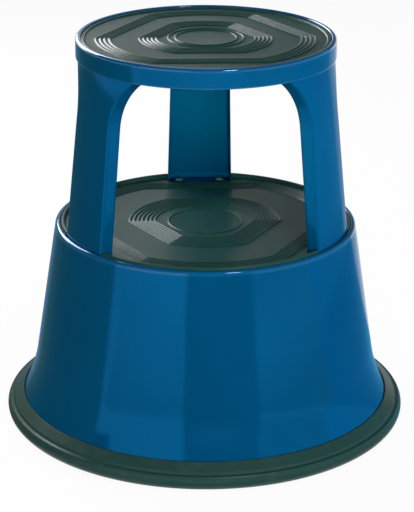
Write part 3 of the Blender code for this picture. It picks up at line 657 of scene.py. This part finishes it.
def make_deck():
    edge_r = COLLAR_R - CLEARANCE
    bend = (edge_r - DECK_EDGE_BEND, DECK_TOP_Z - DECK_EDGE_BEND)
    path = [(0, DECK_TOP_Z)] + arc(bend, DECK_EDGE_BEND, math.pi / 2, 0)
    path.append((edge_r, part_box("lower_deck")[0].z))
    deck = turned("deck_plate", sheet_outline(path), closed=False)
    dress(deck, "blue_paint", "stool", "lower_deck")


def make_bumper():
    """The ring grips the drum's hem in a slot; it has a lip, a sloping face, a groove and a bulge."""
    hem = drum_wall()[1]
    outer_slot = offset_path(hem, -CLEARANCE)
    inner_slot = offset_path(hem, SHEET + CLEARANCE)
    slot_bottom_z = HEM_BOTTOM_Z - CLEARANCE
    edge_r, edge_z = hem[0]
    lip_r, lip_z = outer_slot[0]
    ridge = (edge_r + BUMPER_RIDGE_OUT, edge_z - BUMPER_RIDGE_DROP)
    groove = (ridge[0] + BUMPER_GROOVE_OUT, ridge[1] - BUMPER_GROOVE_DROP)
    bulge_centre = (BUMPER_R - BUMPER_BULGE_R, BUMPER_LIFT + BUMPER_BULGE_R)
    bulge = arc(bulge_centre, BUMPER_BULGE_R, BUMPER_BULGE_START, -math.pi / 2, 4 * BEND)
    inner_r = inner_slot[-1][0] - BUMPER_INNER_WALL
    corners = [
        (lip_r, lip_z, 0),
        (lip_r + BUMPER_LIP, lip_z, BUMPER_LIP_FILLET),
        (*ridge, BUMPER_RIDGE_FILLET),
        (*groove, BUMPER_GROOVE_FILLET),
        (*bulge[0], BUMPER_BULGE_FILLET),
    ]
    outline = filleted(corners, bulge[1]) + bulge[1:]
    outline += [(inner_r, BUMPER_LIFT), (inner_r, inner_slot[1][1])]
    outline += inner_slot[2:-1] + [(inner_slot[-1][0], slot_bottom_z)]
    outline += [(outer_slot[-1][0], slot_bottom_z)] + outer_slot[-2:0:-1]
    dress(turned("bumper_rubber_ring", outline), "bumper_rubber", "stool", "bumper_ring")


def make_cap():
    """A pan for the mat, a rounded rim, and a skirt with a rounded lower edge."""
    inner_bend = (CAP_COLLAR_R + RIM_INNER_BEND, STOOL_HEIGHT - RIM_INNER_BEND)
    corner = (CAP_R - CAP_RIM_CORNER, STOOL_HEIGHT - CAP_RIM_CORNER)
    path = [(0, CAP_PAN_Z), (CAP_COLLAR_R, CAP_PAN_Z)]
    path += arc(inner_bend, RIM_INNER_BEND, math.pi, math.pi / 2)
    path += arc(corner, CAP_RIM_CORNER, math.pi / 2, 0)
    path.append((CAP_R, SKIRT_BOTTOM_Z))
    inside = offset_path(path, SHEET)
    corners = [(*path[-2], 0), (*path[-1], SKIRT_EDGE), (*inside[-1], SKIRT_EDGE)]
    skirt_edge = filleted(corners, inside[-2])[1:]
    cap = turned("cap_pressing", path[:-1] + skirt_edge + inside[-2::-1], closed=False)
    dress(cap, "blue_paint", "stool", "top_cap")


def leg_radius(height):
    """Radius of a leg's outer face: upright in the rim, a cone above it, and drawn in to fit the skirt."""
    height = min(max(height, STEP_RIM_Z), SKIRT_BOTTOM_Z)
    share = (height - STEP_RIM_Z) / (SKIRT_BOTTOM_Z - STEP_RIM_Z)
    drawn = max(height - SKIRT_BOTTOM_Z + LEG_DRAW_LENGTH, 0) / LEG_DRAW_LENGTH
    return LEG_FOOT_R + (LEG_TOP_R + LEG_DRAW_IN - LEG_FOOT_R) * share - LEG_DRAW_IN * drawn**2


def leg_section(height):
    """Points across a leg, from the tip of one turned-in edge round the outer face to the other."""
    radius = leg_radius(height)
    into_arch = max(height - ARCH_CENTRE_Z, 0)
    spread = ARCH_RADIUS - math.sqrt(ARCH_RADIUS**2 - into_arch**2)
    half_angle = LEG_HALF_ANGLE + spread / radius
    x, y = radius * math.cos(half_angle), radius * math.sin(half_angle)
    flange = LEG_FLANGE - LEG_BEND
    half = [(x - LEG_FLANGE + flange * step / FLANGE_STEPS, y) for step in range(FLANGE_STEPS)]
    bend_end = half_angle - LEG_BEND / radius
    start = Vector((x - LEG_BEND, y))
    corner = Vector((x, y))
    end = Vector((radius * math.cos(bend_end), radius * math.sin(bend_end)))
    for step in range(BEND + 1):
        share = step / BEND
        half.append(tuple(start * (1 - share)**2 + corner * 2 * share * (1 - share) + end * share**2))
    for step in range(LEG_FACE_STEPS - 1, 0, -1):
        angle = bend_end * step / LEG_FACE_STEPS
        half.append((radius * math.cos(angle), radius * math.sin(angle)))
    return half + [(radius, 0)] + [(x, -y) for x, y in reversed(half)]


def make_leg(side, azimuth):
    """A channel built up in rows: its foot, its straight part, and the arch that spreads into the cap."""
    arch_end = math.asin((LEG_TOP_Z - ARCH_CENTRE_Z) / ARCH_RADIUS)
    heights = [LEG_BOTTOM_Z]
    for step in range(LEG_ROWS):
        heights.append(STEP_RIM_Z + (ARCH_CENTRE_Z - STEP_RIM_Z) * step / LEG_ROWS)
    for step in range(LEG_ROWS + 1):
        heights.append(ARCH_CENTRE_Z + ARCH_RADIUS * math.sin(arch_end * step / LEG_ROWS))
    rows = [[(x, y, height) for x, y in leg_section(height)] for height in heights]
    name = f"leg_channel_{side}"
    leg = new_object(name, grid_mesh(name, rows))
    leg.data.transform(turn_to(azimuth))
    thicken(leg, "sheet", SHEET)
    even_normals(leg)
    dress(leg, "blue_paint", "stool", f"leg_{side}")


def make_foot(side, azimuth):
    """The tab that a leg stands on, turned in over the deck, and its two domed rivets."""
    inner_x = LEG_FOOT_R - SHEET - FOOT_TAB_DEPTH
    tab_arc = math.asin(FOOT_TAB_HALF_WIDTH / LEG_FOOT_R)
    face = arc((0, 0), LEG_FOOT_R - SHEET / 2, -tab_arc, tab_arc, 3 * BEND)
    corners = [(*face[-1], 0)]
    corners += [(inner_x, sign * FOOT_TAB_HALF_WIDTH, FOOT_TAB_CORNER) for sign in (1, -1)]
    outline = face[:-1] + filleted(corners, face[0])
    tab = extruded(f"foot_tab_{side}", outline, LEG_BOTTOM_Z, LEG_BOTTOM_Z + FOOT_TAB_THICK)
    tab.data.transform(turn_to(azimuth))
    soften(tab, FINE_FILLET)
    dress(tab, "blue_paint", "stool")
    head_z = LEG_BOTTOM_Z + FOOT_TAB_THICK + CLEARANCE
    under_z = DECK_TOP_Z - SHEET - CLEARANCE
    dome = arc((0, 0), 1, math.pi / 2, RIVET_DOME_END)
    outline = [(RIVET_HEAD_R * x, head_z + RIVET_HEAD * z) for x, z in dome]
    outline += [(RIVET_HEAD_R, head_z), (RIVET_R, head_z), (RIVET_R, under_z), (RIVET_HEAD_R, under_z)]
    outline += [(RIVET_HEAD_R, under_z - RIVET_TAIL), (0, under_z - RIVET_TAIL)]
    for hand, sign in (("a", 1), ("b", -1)):
        spot = Matrix.Translation((inner_x + FOOT_TAB_DEPTH / 2, sign * RIVET_HALF_SPACING, 0))
        name = f"domed_rivet_{side}_{hand}"
        rivet = small_turned(name, outline, turn_to(azimuth) @ spot, False, RIVET_FILLET)
        dress(rivet, "zinc_steel", "stool", f"foot_rivet_{side}_{hand}")


def figure_radius(corner_r, chord_azimuth, angle):
    """Radius at an angle of a figure whose three chords are joined by three arcs of the corner radius."""
    half_spacing = CHORD_SPACING / 2
    off = (math.degrees(angle) - chord_azimuth + half_spacing) % CHORD_SPACING - half_spacing
    if abs(off) < CHORD_HALF_ANGLE:
        return corner_r * math.cos(math.radians(CHORD_HALF_ANGLE)) / math.cos(math.radians(off))
    return corner_r


def raised(section, middle, width, field_z):
    """(radius, height) over a rib or ring, from the outside in; its half section is mirrored."""
    whole = section + tuple((-across, up) for across, up in reversed(section[:-1]))
    return [(middle + across * width, field_z + up * RIB_HEIGHT) for across, up in whole]


def rib_profile(edge_r, ribs, field_z):
    """(corner radius, height) over each rib of a set, from the outside in."""
    outside, pitch, count = edge_r * ribs[0], edge_r * ribs[1], ribs[2]
    points = []
    for rib in range(count):
        points += raised(RIB_SECTION, outside - (rib + 0.5) * pitch, pitch, field_z)
    return points


def make_mat(name, node, field, lip, chord_azimuth, rib_sets, rings):
    """A moulded mat: raised lip, two sets of nested ribs and plain rings in the middle."""
    edge_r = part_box(node)[1].x
    bottom_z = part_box(node)[0].z
    field_z = bottom_z + field
    lip_width, lip_height = lip
    lip_z = field_z + lip_height
    corners = [
        (edge_r, bottom_z, 0),
        (edge_r, lip_z - lip_height / 2, LIP_EDGE_FILLET),
        (edge_r - lip_width / 4, lip_z, LIP_TOP_FILLET),
        (edge_r - 3 * lip_width / 4, lip_z, LIP_TOP_FILLET),
        (edge_r - lip_width, field_z, LIP_FOOT_FILLET),
    ]
    plain = [(0, bottom_z)] + filleted(corners, (edge_r - 2 * lip_width, field_z))
    loops = [(r, z, False) for r, z in plain]
    for ribs in rib_sets:
        loops += [(r, z, True) for r, z in rib_profile(edge_r, ribs, field_z)]
    for share in rings:
        ring = raised(RING_SECTION, edge_r * share, RING_WIDTH / 2, field_z)
        loops += [(r, z, False) for r, z in ring]
    loops.append((0, field_z, False))
    angles = [2 * math.pi * step / MAT_ROUND for step in range(MAT_ROUND)]
    rows = []
    for radius, height, ribbed in loops:
        row = []
        for angle in angles:
            r = figure_radius(radius, chord_azimuth, angle) if ribbed else radius
            row.append((r * math.cos(angle), r * math.sin(angle), height))
        rows.append(row)
    return new_object(name, grid_mesh(name, rows, wrap_columns=True))


def cut_slot(mat, azimuth):
    """Cuts a leg's foot out of the lower mat, open to the rim."""
    inner_x = LEG_FOOT_R * math.cos(LEG_HALF_ANGLE) - LEG_FLANGE - MAT_SLOT_GAP
    outer_x = COLLAR_R + MAT_SLOT_GAP
    half = LEG_FOOT_R * math.sin(LEG_HALF_ANGLE) + MAT_SLOT_GAP
    outline = [(inner_x, -half), (outer_x, -half), (outer_x, half), (inner_x, half)]
    low, high = DECK_TOP_Z - MAT_SLOT_REACH, DECK_TOP_Z + MAT_SLOT_REACH
    cut(mat, extruded("slot_cutter", outline, low, high), turn_to(azimuth))


def make_mats():
    top = make_mat(
        "top_tread", "top_tread_mat", TOP_MAT_FIELD, TOP_MAT_LIP,
        TOP_CHORD_AZIMUTH, TOP_RIBS, TOP_RINGS,
    )
    even_normals(top)
    dress(top, "mat_rubber", "stool", "top_tread_mat")
    low = make_mat(
        "lower_tread", "lower_tread_mat", STEP_MAT_FIELD, STEP_MAT_LIP,
        STEP_CHORD_AZIMUTH, STEP_RIBS, STEP_RINGS,
    )
    for azimuth in SIDES.values():
        cut_slot(low, azimuth)
    even_normals(low)
    dress(low, "mat_rubber", "stool", "lower_tread_mat")


def wall_inside_r(height):
    """Radius of the drum wall's inside where it is a cone."""
    rim_z = STEP_RIM_Z - STEP_RIM_CORNER * (1 - math.sin(DRUM_TAPER))
    rim_r = DRUM_TOP_R - STEP_RIM_CORNER * (1 - math.cos(DRUM_TAPER))
    return rim_r + (rim_z - height) * math.tan(DRUM_TAPER) - SHEET / math.cos(DRUM_TAPER)


def make_bracket(side, place):
    """A bent plate whose back lies on the drum's wall and whose two plates hold the stem's guides."""
    low, high = span(f"castor_bracket_{side}")
    top_x, low_x = (
        math.sqrt((wall_inside_r(z) - 3 * CLEARANCE) ** 2 - BRACKET_HALF_WIDTH**2) - CASTOR_PITCH_R
        for z in (high, low)
    )
    corners = [(-BRACKET_NOSE, high, 0), (top_x, high, BRACKET_BEND), (low_x, low, BRACKET_BEND)]
    path = filleted(corners, (-BRACKET_NOSE, low)) + [(-BRACKET_NOSE, low)]
    outline = sheet_outline(path, BRACKET_SHEET)
    bracket = extruded(f"guide_bracket_{side}", outline, -BRACKET_HALF_WIDTH, BRACKET_HALF_WIDTH)
    bracket.data.transform(Matrix.Rotation(math.pi / 2, 4, "X"))
    drill(bracket, BUSH_SLEEVE_R + CLEARANCE, Matrix(), 2 * high)
    bracket.data.transform(place)
    soften(bracket, FINE_FILLET)
    dress(bracket, "zinc_steel", "stool", f"castor_bracket_{side}")


def make_guides(side, place):
    """Two flanged nylon guides, the lower one over its plate and the upper one under its plate."""
    low, high = span(f"lower_bush_{side}")
    flange_z = high - BUSH_FLANGE
    outline = [(BUSH_FLANGE_R, high), (BUSH_FLANGE_R, flange_z), (BUSH_SLEEVE_R, flange_z)]
    outline += [(BUSH_SLEEVE_R, low), (BORE_R, low), (BORE_R, high)]
    lower = small_turned(f"lower_guide_{side}", outline, place)
    dress(lower, "nylon", "stool", f"lower_bush_{side}")
    low, high = span(f"upper_bush_{side}")
    flange_z = low + BUSH_FLANGE
    outline = [(BUSH_SLEEVE_R, high), (BUSH_SLEEVE_R, flange_z), (BUSH_FLANGE_R, flange_z)]
    outline += [(BUSH_FLANGE_R, low), (BORE_R, low), (BORE_R, high)]
    upper = small_turned(f"upper_guide_{side}", outline, place)
    dress(upper, "nylon", "stool", f"upper_bush_{side}")


def make_stem(side, place):
    """Sliding stem with a collar under the spring, a shoulder, and a clenched head under the fork."""
    low, high = span(f"castor_stem_{side}")
    spring_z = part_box(f"castor_spring_{side}")[0].z - CLEARANCE
    shoulder_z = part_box(f"swivel_washer_{side}")[1].z + CLEARANCE
    collar_z = spring_z - STEM_COLLAR
    outline = [(0, high), (STEM_R - STEM_CHAMFER, high), (STEM_R, high - STEM_CHAMFER), (STEM_R, spring_z)]
    outline += [(STEM_COLLAR_R, spring_z), (STEM_COLLAR_R, collar_z), (STEM_R, collar_z)]
    outline += [(STEM_R, shoulder_z + STEM_SHOULDER), (STEM_SHOULDER_R, shoulder_z + STEM_SHOULDER)]
    outline += [(STEM_SHOULDER_R, shoulder_z), (STEM_R, shoulder_z), (STEM_R, low + STEM_HEAD)]
    outline += [(STEM_HEAD_R, low + STEM_HEAD), (STEM_HEAD_R, low + STEM_CHAMFER)]
    outline += [(STEM_HEAD_R - STEM_CHAMFER, low), (0, low)]
    stem = small_turned(f"sliding_stem_{side}", outline, place, False)
    dress(stem, "zinc_steel", f"stem_{side}", f"castor_stem_{side}")
    low, high = span(f"swivel_washer_{side}")
    outline = [(WASHER_R, high), (WASHER_R, low), (BORE_R, low), (BORE_R, high)]
    washer = small_turned(f"thrust_washer_{side}", outline, place)
    dress(washer, "zinc_steel", f"fork_{side}", f"swivel_washer_{side}")


def spring_heights(low, high):
    """Height of the wire's middle at each step along it: closed end turns, and open turns between them."""
    first, last = low + SPRING_WIRE_R, high - SPRING_WIRE_R
    open_pitch = (last - first - 2 * SPRING_END_TURNS * SPRING_END_PITCH) / SPRING_OPEN_TURNS
    end = (SPRING_END_TURNS, SPRING_END_PITCH)
    heights = [first]
    for turns, pitch in (end, (SPRING_OPEN_TURNS, open_pitch), end):
        for step in range(round(turns * SPRING_TURN_STEPS)):
            heights.append(heights[-1] + pitch / SPRING_TURN_STEPS)
    return heights


def make_spring(side, place):
    """Coil spring of round wire: closed end turns, and open turns between them."""
    low, high = span(f"castor_spring_{side}")
    rows = []
    for step, height in enumerate(spring_heights(low, high)):
        angle = 2 * math.pi * step / SPRING_TURN_STEPS
        row = []
        for place_round in range(SPRING_WIRE_STEPS):
            around = 2 * math.pi * place_round / SPRING_WIRE_STEPS
            radius = SPRING_MEAN_R + SPRING_WIRE_R * math.cos(around)
            rise = SPRING_WIRE_R * math.sin(around)
            row.append((radius * math.cos(angle), radius * math.sin(angle), height + rise))
        rows.append(row)
    start, end = (sum(map(Vector, row), Vector()) / SPRING_WIRE_STEPS for row in (rows[0], rows[-1]))
    rows = [[start] * SPRING_WIRE_STEPS] + rows + [[end] * SPRING_WIRE_STEPS]
    name = f"coil_spring_{side}"
    spring = new_object(name, grid_mesh(name, rows, wrap_columns=True))
    spring.data.transform(place)
    dress(spring, "spring_steel", "stool", f"castor_spring_{side}")
    slide = f"castor_slide_{side}"
    joints = {joint["name"]: joint for joint in frame["record"]["behaviour"]["joints"]}
    travel = joints[slide]["range_m"][1]
    1 - travel / (high - low)
    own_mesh(spring)


def fork_edges(height):
    """Back and front edge of a fork's cheek at a height: a round eye under a wide crown."""
    eye = Vector((FORK_TRAIL, WHEEL_R))
    ends = [eye + FORK_EYE_R * Vector((math.cos(angle), math.sin(angle))) for angle in FORK_EYE_ENDS]
    crown_top_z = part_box("castor_fork_back")[1].z
    back_corner = Vector((-CROWN_HALF_LENGTH, crown_top_z - 2 * FORK_SHEET))
    front_corner = Vector((CROWN_HALF_LENGTH, crown_top_z))
    edges = []
    for sign, end, corner in zip((-1, 1), ends, (back_corner, front_corner)):
        if height < end.y:
            edges.append(eye.x + sign * math.sqrt(max(FORK_EYE_R**2 - (height - eye.y) ** 2, 0)))
        else:
            edges.append(end.lerp(corner, min((height - end.y) / (corner.y - end.y), 1)).x)
    return edges


def make_fork(side, place):
    """An inverted U bent from one plate, with its crown under the stem and an eye on each cheek."""
    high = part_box(f"castor_fork_{side}")[1].z
    half = FORK_GAP / 2 + FORK_SHEET
    eye = [(half, WHEEL_R - FORK_EYE_R * math.cos(math.pi / 2 * step / BEND)) for step in range(BEND)]
    cheek = [(half, WHEEL_R + (high - FORK_BEND - WHEEL_R) * step / BEND) for step in range(BEND)]
    bend = arc((half - FORK_BEND, high - FORK_BEND), FORK_BEND, 0, math.pi / 2)
    right = eye + cheek + bend
    rows = []
    for x, z in right + [(0, high)] + [(-x, z) for x, z in reversed(right)]:
        back, front = fork_edges(z)
        rows.append([(x, back + (front - back) * step / FORK_STEPS, z) for step in range(FORK_STEPS + 1)])
    fork = new_object(f"wheel_fork_{side}", grid_mesh(f"wheel_fork_{side}", rows))
    thicken(fork, "plate", FORK_SHEET)
    drill(fork, BORE_R, Matrix.Translation((0, 0, high)), 2 * FORK_SHEET)
    drill(fork, AXLE_R + CLEARANCE, AXLE_LINE, 2 * half)
    fork.data.transform(place)
    soften(fork, FINE_FILLET / 2)
    dress(fork, "zinc_steel", f"fork_{side}", f"castor_fork_{side}")


def mirrored_ends(outline):
    return outline + [(radius, -along) for radius, along in reversed(outline)]


def make_wheel(side, place):
    """Axle with two heads, webbed wheel core and rounded tyre, turned about the axle."""
    place = place @ AXLE_LINE
    inner = FORK_GAP / 2
    outer = inner + FORK_SHEET + CLEARANCE
    head = outer + AXLE_HEAD
    outline = mirrored_ends([(0, head), (AXLE_HEAD_R, head), (AXLE_HEAD_R, outer), (AXLE_R, outer)])
    pin = small_turned(f"wheel_pin_{side}", outline, place, False, 2 * FINE_FILLET)
    dress(pin, "zinc_steel", f"fork_{side}", f"wheel_axle_{side}")
    half = TYRE_WIDTH / 2
    hub_end = inner - CLEARANCE
    rim_r = WHEEL_CORE_R - WHEEL_RIM
    bore_r = AXLE_R + CLEARANCE
    outline = [(HUB_R, hub_end), (HUB_R, WHEEL_WEB / 2), (rim_r, WHEEL_WEB / 2)]
    outline += [(rim_r, half), (WHEEL_CORE_R, half)]
    outline = mirrored_ends(outline) + [(bore_r, -hub_end), (bore_r, hub_end)]
    hub = small_turned(f"wheel_hub_{side}", outline, place, fillet=2 * FINE_FILLET)
    dress(hub, "wheel_plastic", f"wheel_{side}", f"wheel_core_{side}")
    seat_r = WHEEL_CORE_R + CLEARANCE
    corners = [(seat_r, 0, 0), (seat_r, half, FINE_FILLET), (WHEEL_R, half, TYRE_SHOULDER)]
    corners += [(WHEEL_R, -half, TYRE_SHOULDER), (seat_r, -half, FINE_FILLET)]
    tread = turned(f"wheel_tread_{side}", filleted(corners, (seat_r, 0)), 2 * SMALL_ROUND)
    tread.data.transform(place)
    dress(tread, "tyre_rubber", f"wheel_{side}", f"wheel_tyre_{side}")


def make_castor(side, azimuth):
    place = turn_to(azimuth) @ Matrix.Translation((CASTOR_PITCH_R, 0, 0))
    for make in (make_bracket, make_guides, make_stem, make_spring, make_fork, make_wheel):
        make(side, place)


def studio_white():
    """White to the camera and in reflections, but for a soft shadow; pale and matt to other light."""
    white = Finish("studio_white")
    camera, glossy, through = (
        white.add("ShaderNodeLightPath", output=f"Is {kind} Ray")
        for kind in ("Camera", "Glossy", "Transmission")
    )
    matt = white.add("ShaderNodeBsdfDiffuse", None, {"Color": colour(0.8, 0.8, 0.8)})
    glow = white.add("ShaderNodeEmission", None, {"Color": colour(1, 1, 1), "Strength": 1.0})
    share = (camera + glossy + through) * SWEEP_WHITE
    shown = white.add("ShaderNodeMixShader", None, {0: share, 1: matt, 2: glow})
    white.add("ShaderNodeOutputMaterial", None, {"Surface": shown})
    return white.material


def make_stage():
    outline = [(0, 0), (SWEEP_R, 0)]
    outline += arc((SWEEP_R, SWEEP_BEND), SWEEP_BEND, -math.pi / 2, 0)
    outline.append((SWEEP_R + SWEEP_BEND, SWEEP_TOP_Z))
    sweep = turned("studio_sweep", outline, SWEEP_ROUND, closed=False)
    sweep.data.materials.append(studio_white())
    world = bpy.data.worlds.new("studio_air")
    world.use_nodes = True
    air = world.node_tree.nodes["Background"].inputs
    air["Color"].default_value = colour(0.9, 0.97, 1.0)
    air["Strength"].default_value = 0.12
    bpy.context.scene.world = world


def softbox(
    name, azimuth, elevation, size, power, away=LAMP_AWAY, aim=STOOL_MIDDLE, spread=180, mirrored=False
):
    """An area lamp aimed at a point of the stool; mirrored ones also show in glossy pieces."""
    lamp = bpy.data.lights.new(name, "AREA")
    lamp.spread = math.radians(spread)
    lamp.shape = "RECTANGLE"
    lamp.size, lamp.size_y = size
    lamp.energy = power
    obj = new_object(name, lamp)
    turn, rise = math.radians(azimuth), math.radians(elevation)
    out = Vector((math.cos(turn) * math.cos(rise), math.sin(turn) * math.cos(rise), math.sin(rise)))
    obj.location = Vector(aim) + out * away
    obj.rotation_euler = (-out).to_track_quat("-Z", "Y").to_euler()
    obj.visible_camera = False
    obj.visible_glossy = mirrored
    return obj


def make_lights():
    softbox("front_fill", 272, 3, size=(1.0, 0.4), power=25)
    softbox("side_fill", 330, 12, size=(0.6, 0.6), power=11)
    beam = softbox("back_leg_beam", 279, 3, size=(0.14, 0.1), power=0.05, aim=BACK_LEG_AIM, spread=5)
    beam.data.color = (0.9, 1.0, 0.6)
    softbox("tread_beam", 272, 26, size=(0.18, 0.06), power=0.02, aim=TREAD_AIM, spread=3)
    softbox("top_fill", 262, 75, size=(1.5, 1.5), power=8)
    softbox("key", 291, 45, size=(0.3, 0.3), power=8, mirrored=True)
    softbox("left_window", 122, 28, size=(1.0, 0.8), power=22, away=WINDOW_AWAY, mirrored=True)


def panel(name, sector, profile, glow):
    """A sheet swept across a sector, as a reflector or a dark flag, that only glossy pieces see.

    Either end of the sector is one azimuth, or a tuple with an azimuth for each point of the profile.
    """
    ends = [end if isinstance(end, tuple) else (end,) * len(profile) for end in sector]
    rows = []
    for (r, z), first, last in zip(profile, *ends):
        angles = [
            math.radians(first + (last - first) * step / PANEL_STEPS) for step in range(PANEL_STEPS + 1)
        ]
        rows.append([(r * math.cos(angle), r * math.sin(angle), z) for angle in angles])
    obj = new_object(name, grid_mesh(name, rows))
    sheet = Finish(name)
    light = sheet.add("ShaderNodeEmission", None, {"Color": colour(*glow), "Strength": 1.0})
    sheet.add("ShaderNodeOutputMaterial", None, {"Surface": light})
    obj.data.materials.append(sheet.material)
    obj.visible_camera = False
    obj.visible_diffuse = False
    obj.visible_shadow = False


def grey(level):
    return (level, level, level)


def make_panels():
    """Greenish flags on the left, greys in front, bluish ones on the right and pale ones behind."""
    wall = ((PANEL_R, 0), (PANEL_R, PANEL_TOP_Z))
    near_floor = ((PANEL_INNER_R, PANEL_LIFT), (NEAR_R, PANEL_LIFT))
    far_floor = ((NEAR_R, PANEL_LIFT), (PANEL_R, PANEL_LIFT))
    left = tuple((r, PANEL_LIFT) for r in LEFT_RADII) + ((LEFT_RADII[-1], LEFT_TOP_Z),)
    limb = tuple(LIMB_AZIMUTH + math.degrees(math.asin(LIMB_OFFSET / r)) for r, z in left)
    panel("left_flag", (FRONT_LEFT[0], limb), left, (0.17, 0.26, 0.14))
    panel("left_edge_flag", (limb, LEFT_END), left, (0.2, 0.32, 0.38))
    panel("front_left_reflector", FRONT_LEFT, wall, grey(0.95))
    panel("camera_flag", CAMERA_SIDE, near_floor + ((NEAR_R, CAMERA_FLAG_TOP_Z),), grey(0.13))
    panel("camera_flag_back", CAMERA_SIDE, wall, grey(0.13))
    panel("right_reflector", FRONT_RIGHT, wall, grey(0.5))
    for place, (inner, outer, left_grey, right_grey) in enumerate(FLOOR_RINGS):
        ring = ((inner, PANEL_LIFT), (outer, PANEL_LIFT))
        panel(f"front_left_floor_{place}", FRONT_LEFT, ring, grey(left_grey))
        panel(f"front_right_floor_{place}", FRONT_RIGHT, ring, grey(right_grey))
    panel("right_floor", FAR_RIGHT, near_floor, (0.12, 0.5, 0.7))
    panel("right_flag", FAR_RIGHT, far_floor + wall[1:], (0.25, 0.72, 0.92))
    low, middle, high = ((PANEL_R, height) for height in BACK_HEIGHTS)
    panel("back_reflector_low", BACK_LOW, (low, middle), (0.72, 0.72, 0.74))
    panel("back_reflector", BACK_HIGH, (middle, high), (1.15, 1.15, 1.19))


def make_camera():
    lens = bpy.data.cameras.new("photo_camera")
    lens.sensor_width = SENSOR
    lens.lens = FOCAL_PIXELS / FRAME_HEIGHT * SENSOR
    lens.shift_x = (FRAME_WIDTH / 2 - AXIS_PIXEL_X) / FRAME_HEIGHT
    camera = new_object("photo_camera", lens)
    turn = Matrix.Rotation(-STOOL_TURN, 4, "Z")
    camera.location = turn @ Vector((0, -CAMERA_AWAY, CAMERA_HEIGHT))
    tilt = Matrix.Rotation(math.pi / 2 - CAMERA_DIP, 4, "X")
    camera.rotation_euler = (turn @ tilt @ Matrix.Rotation(CAMERA_ROLL, 4, "Z")).to_euler()
    bpy.context.scene.camera = camera


def main():
    make_drum()
    make_deck()
    make_bumper()
    make_cap()
    for side, azimuth in SIDES.items():
        make_leg(side, azimuth)
        make_foot(side, azimuth)
        make_castor(side, azimuth)
    make_mats()
    make_stage()
    make_lights()
    make_panels()
    make_camera()
    bpy.context.scene.view_settings.view_transform = "Standard"


main()
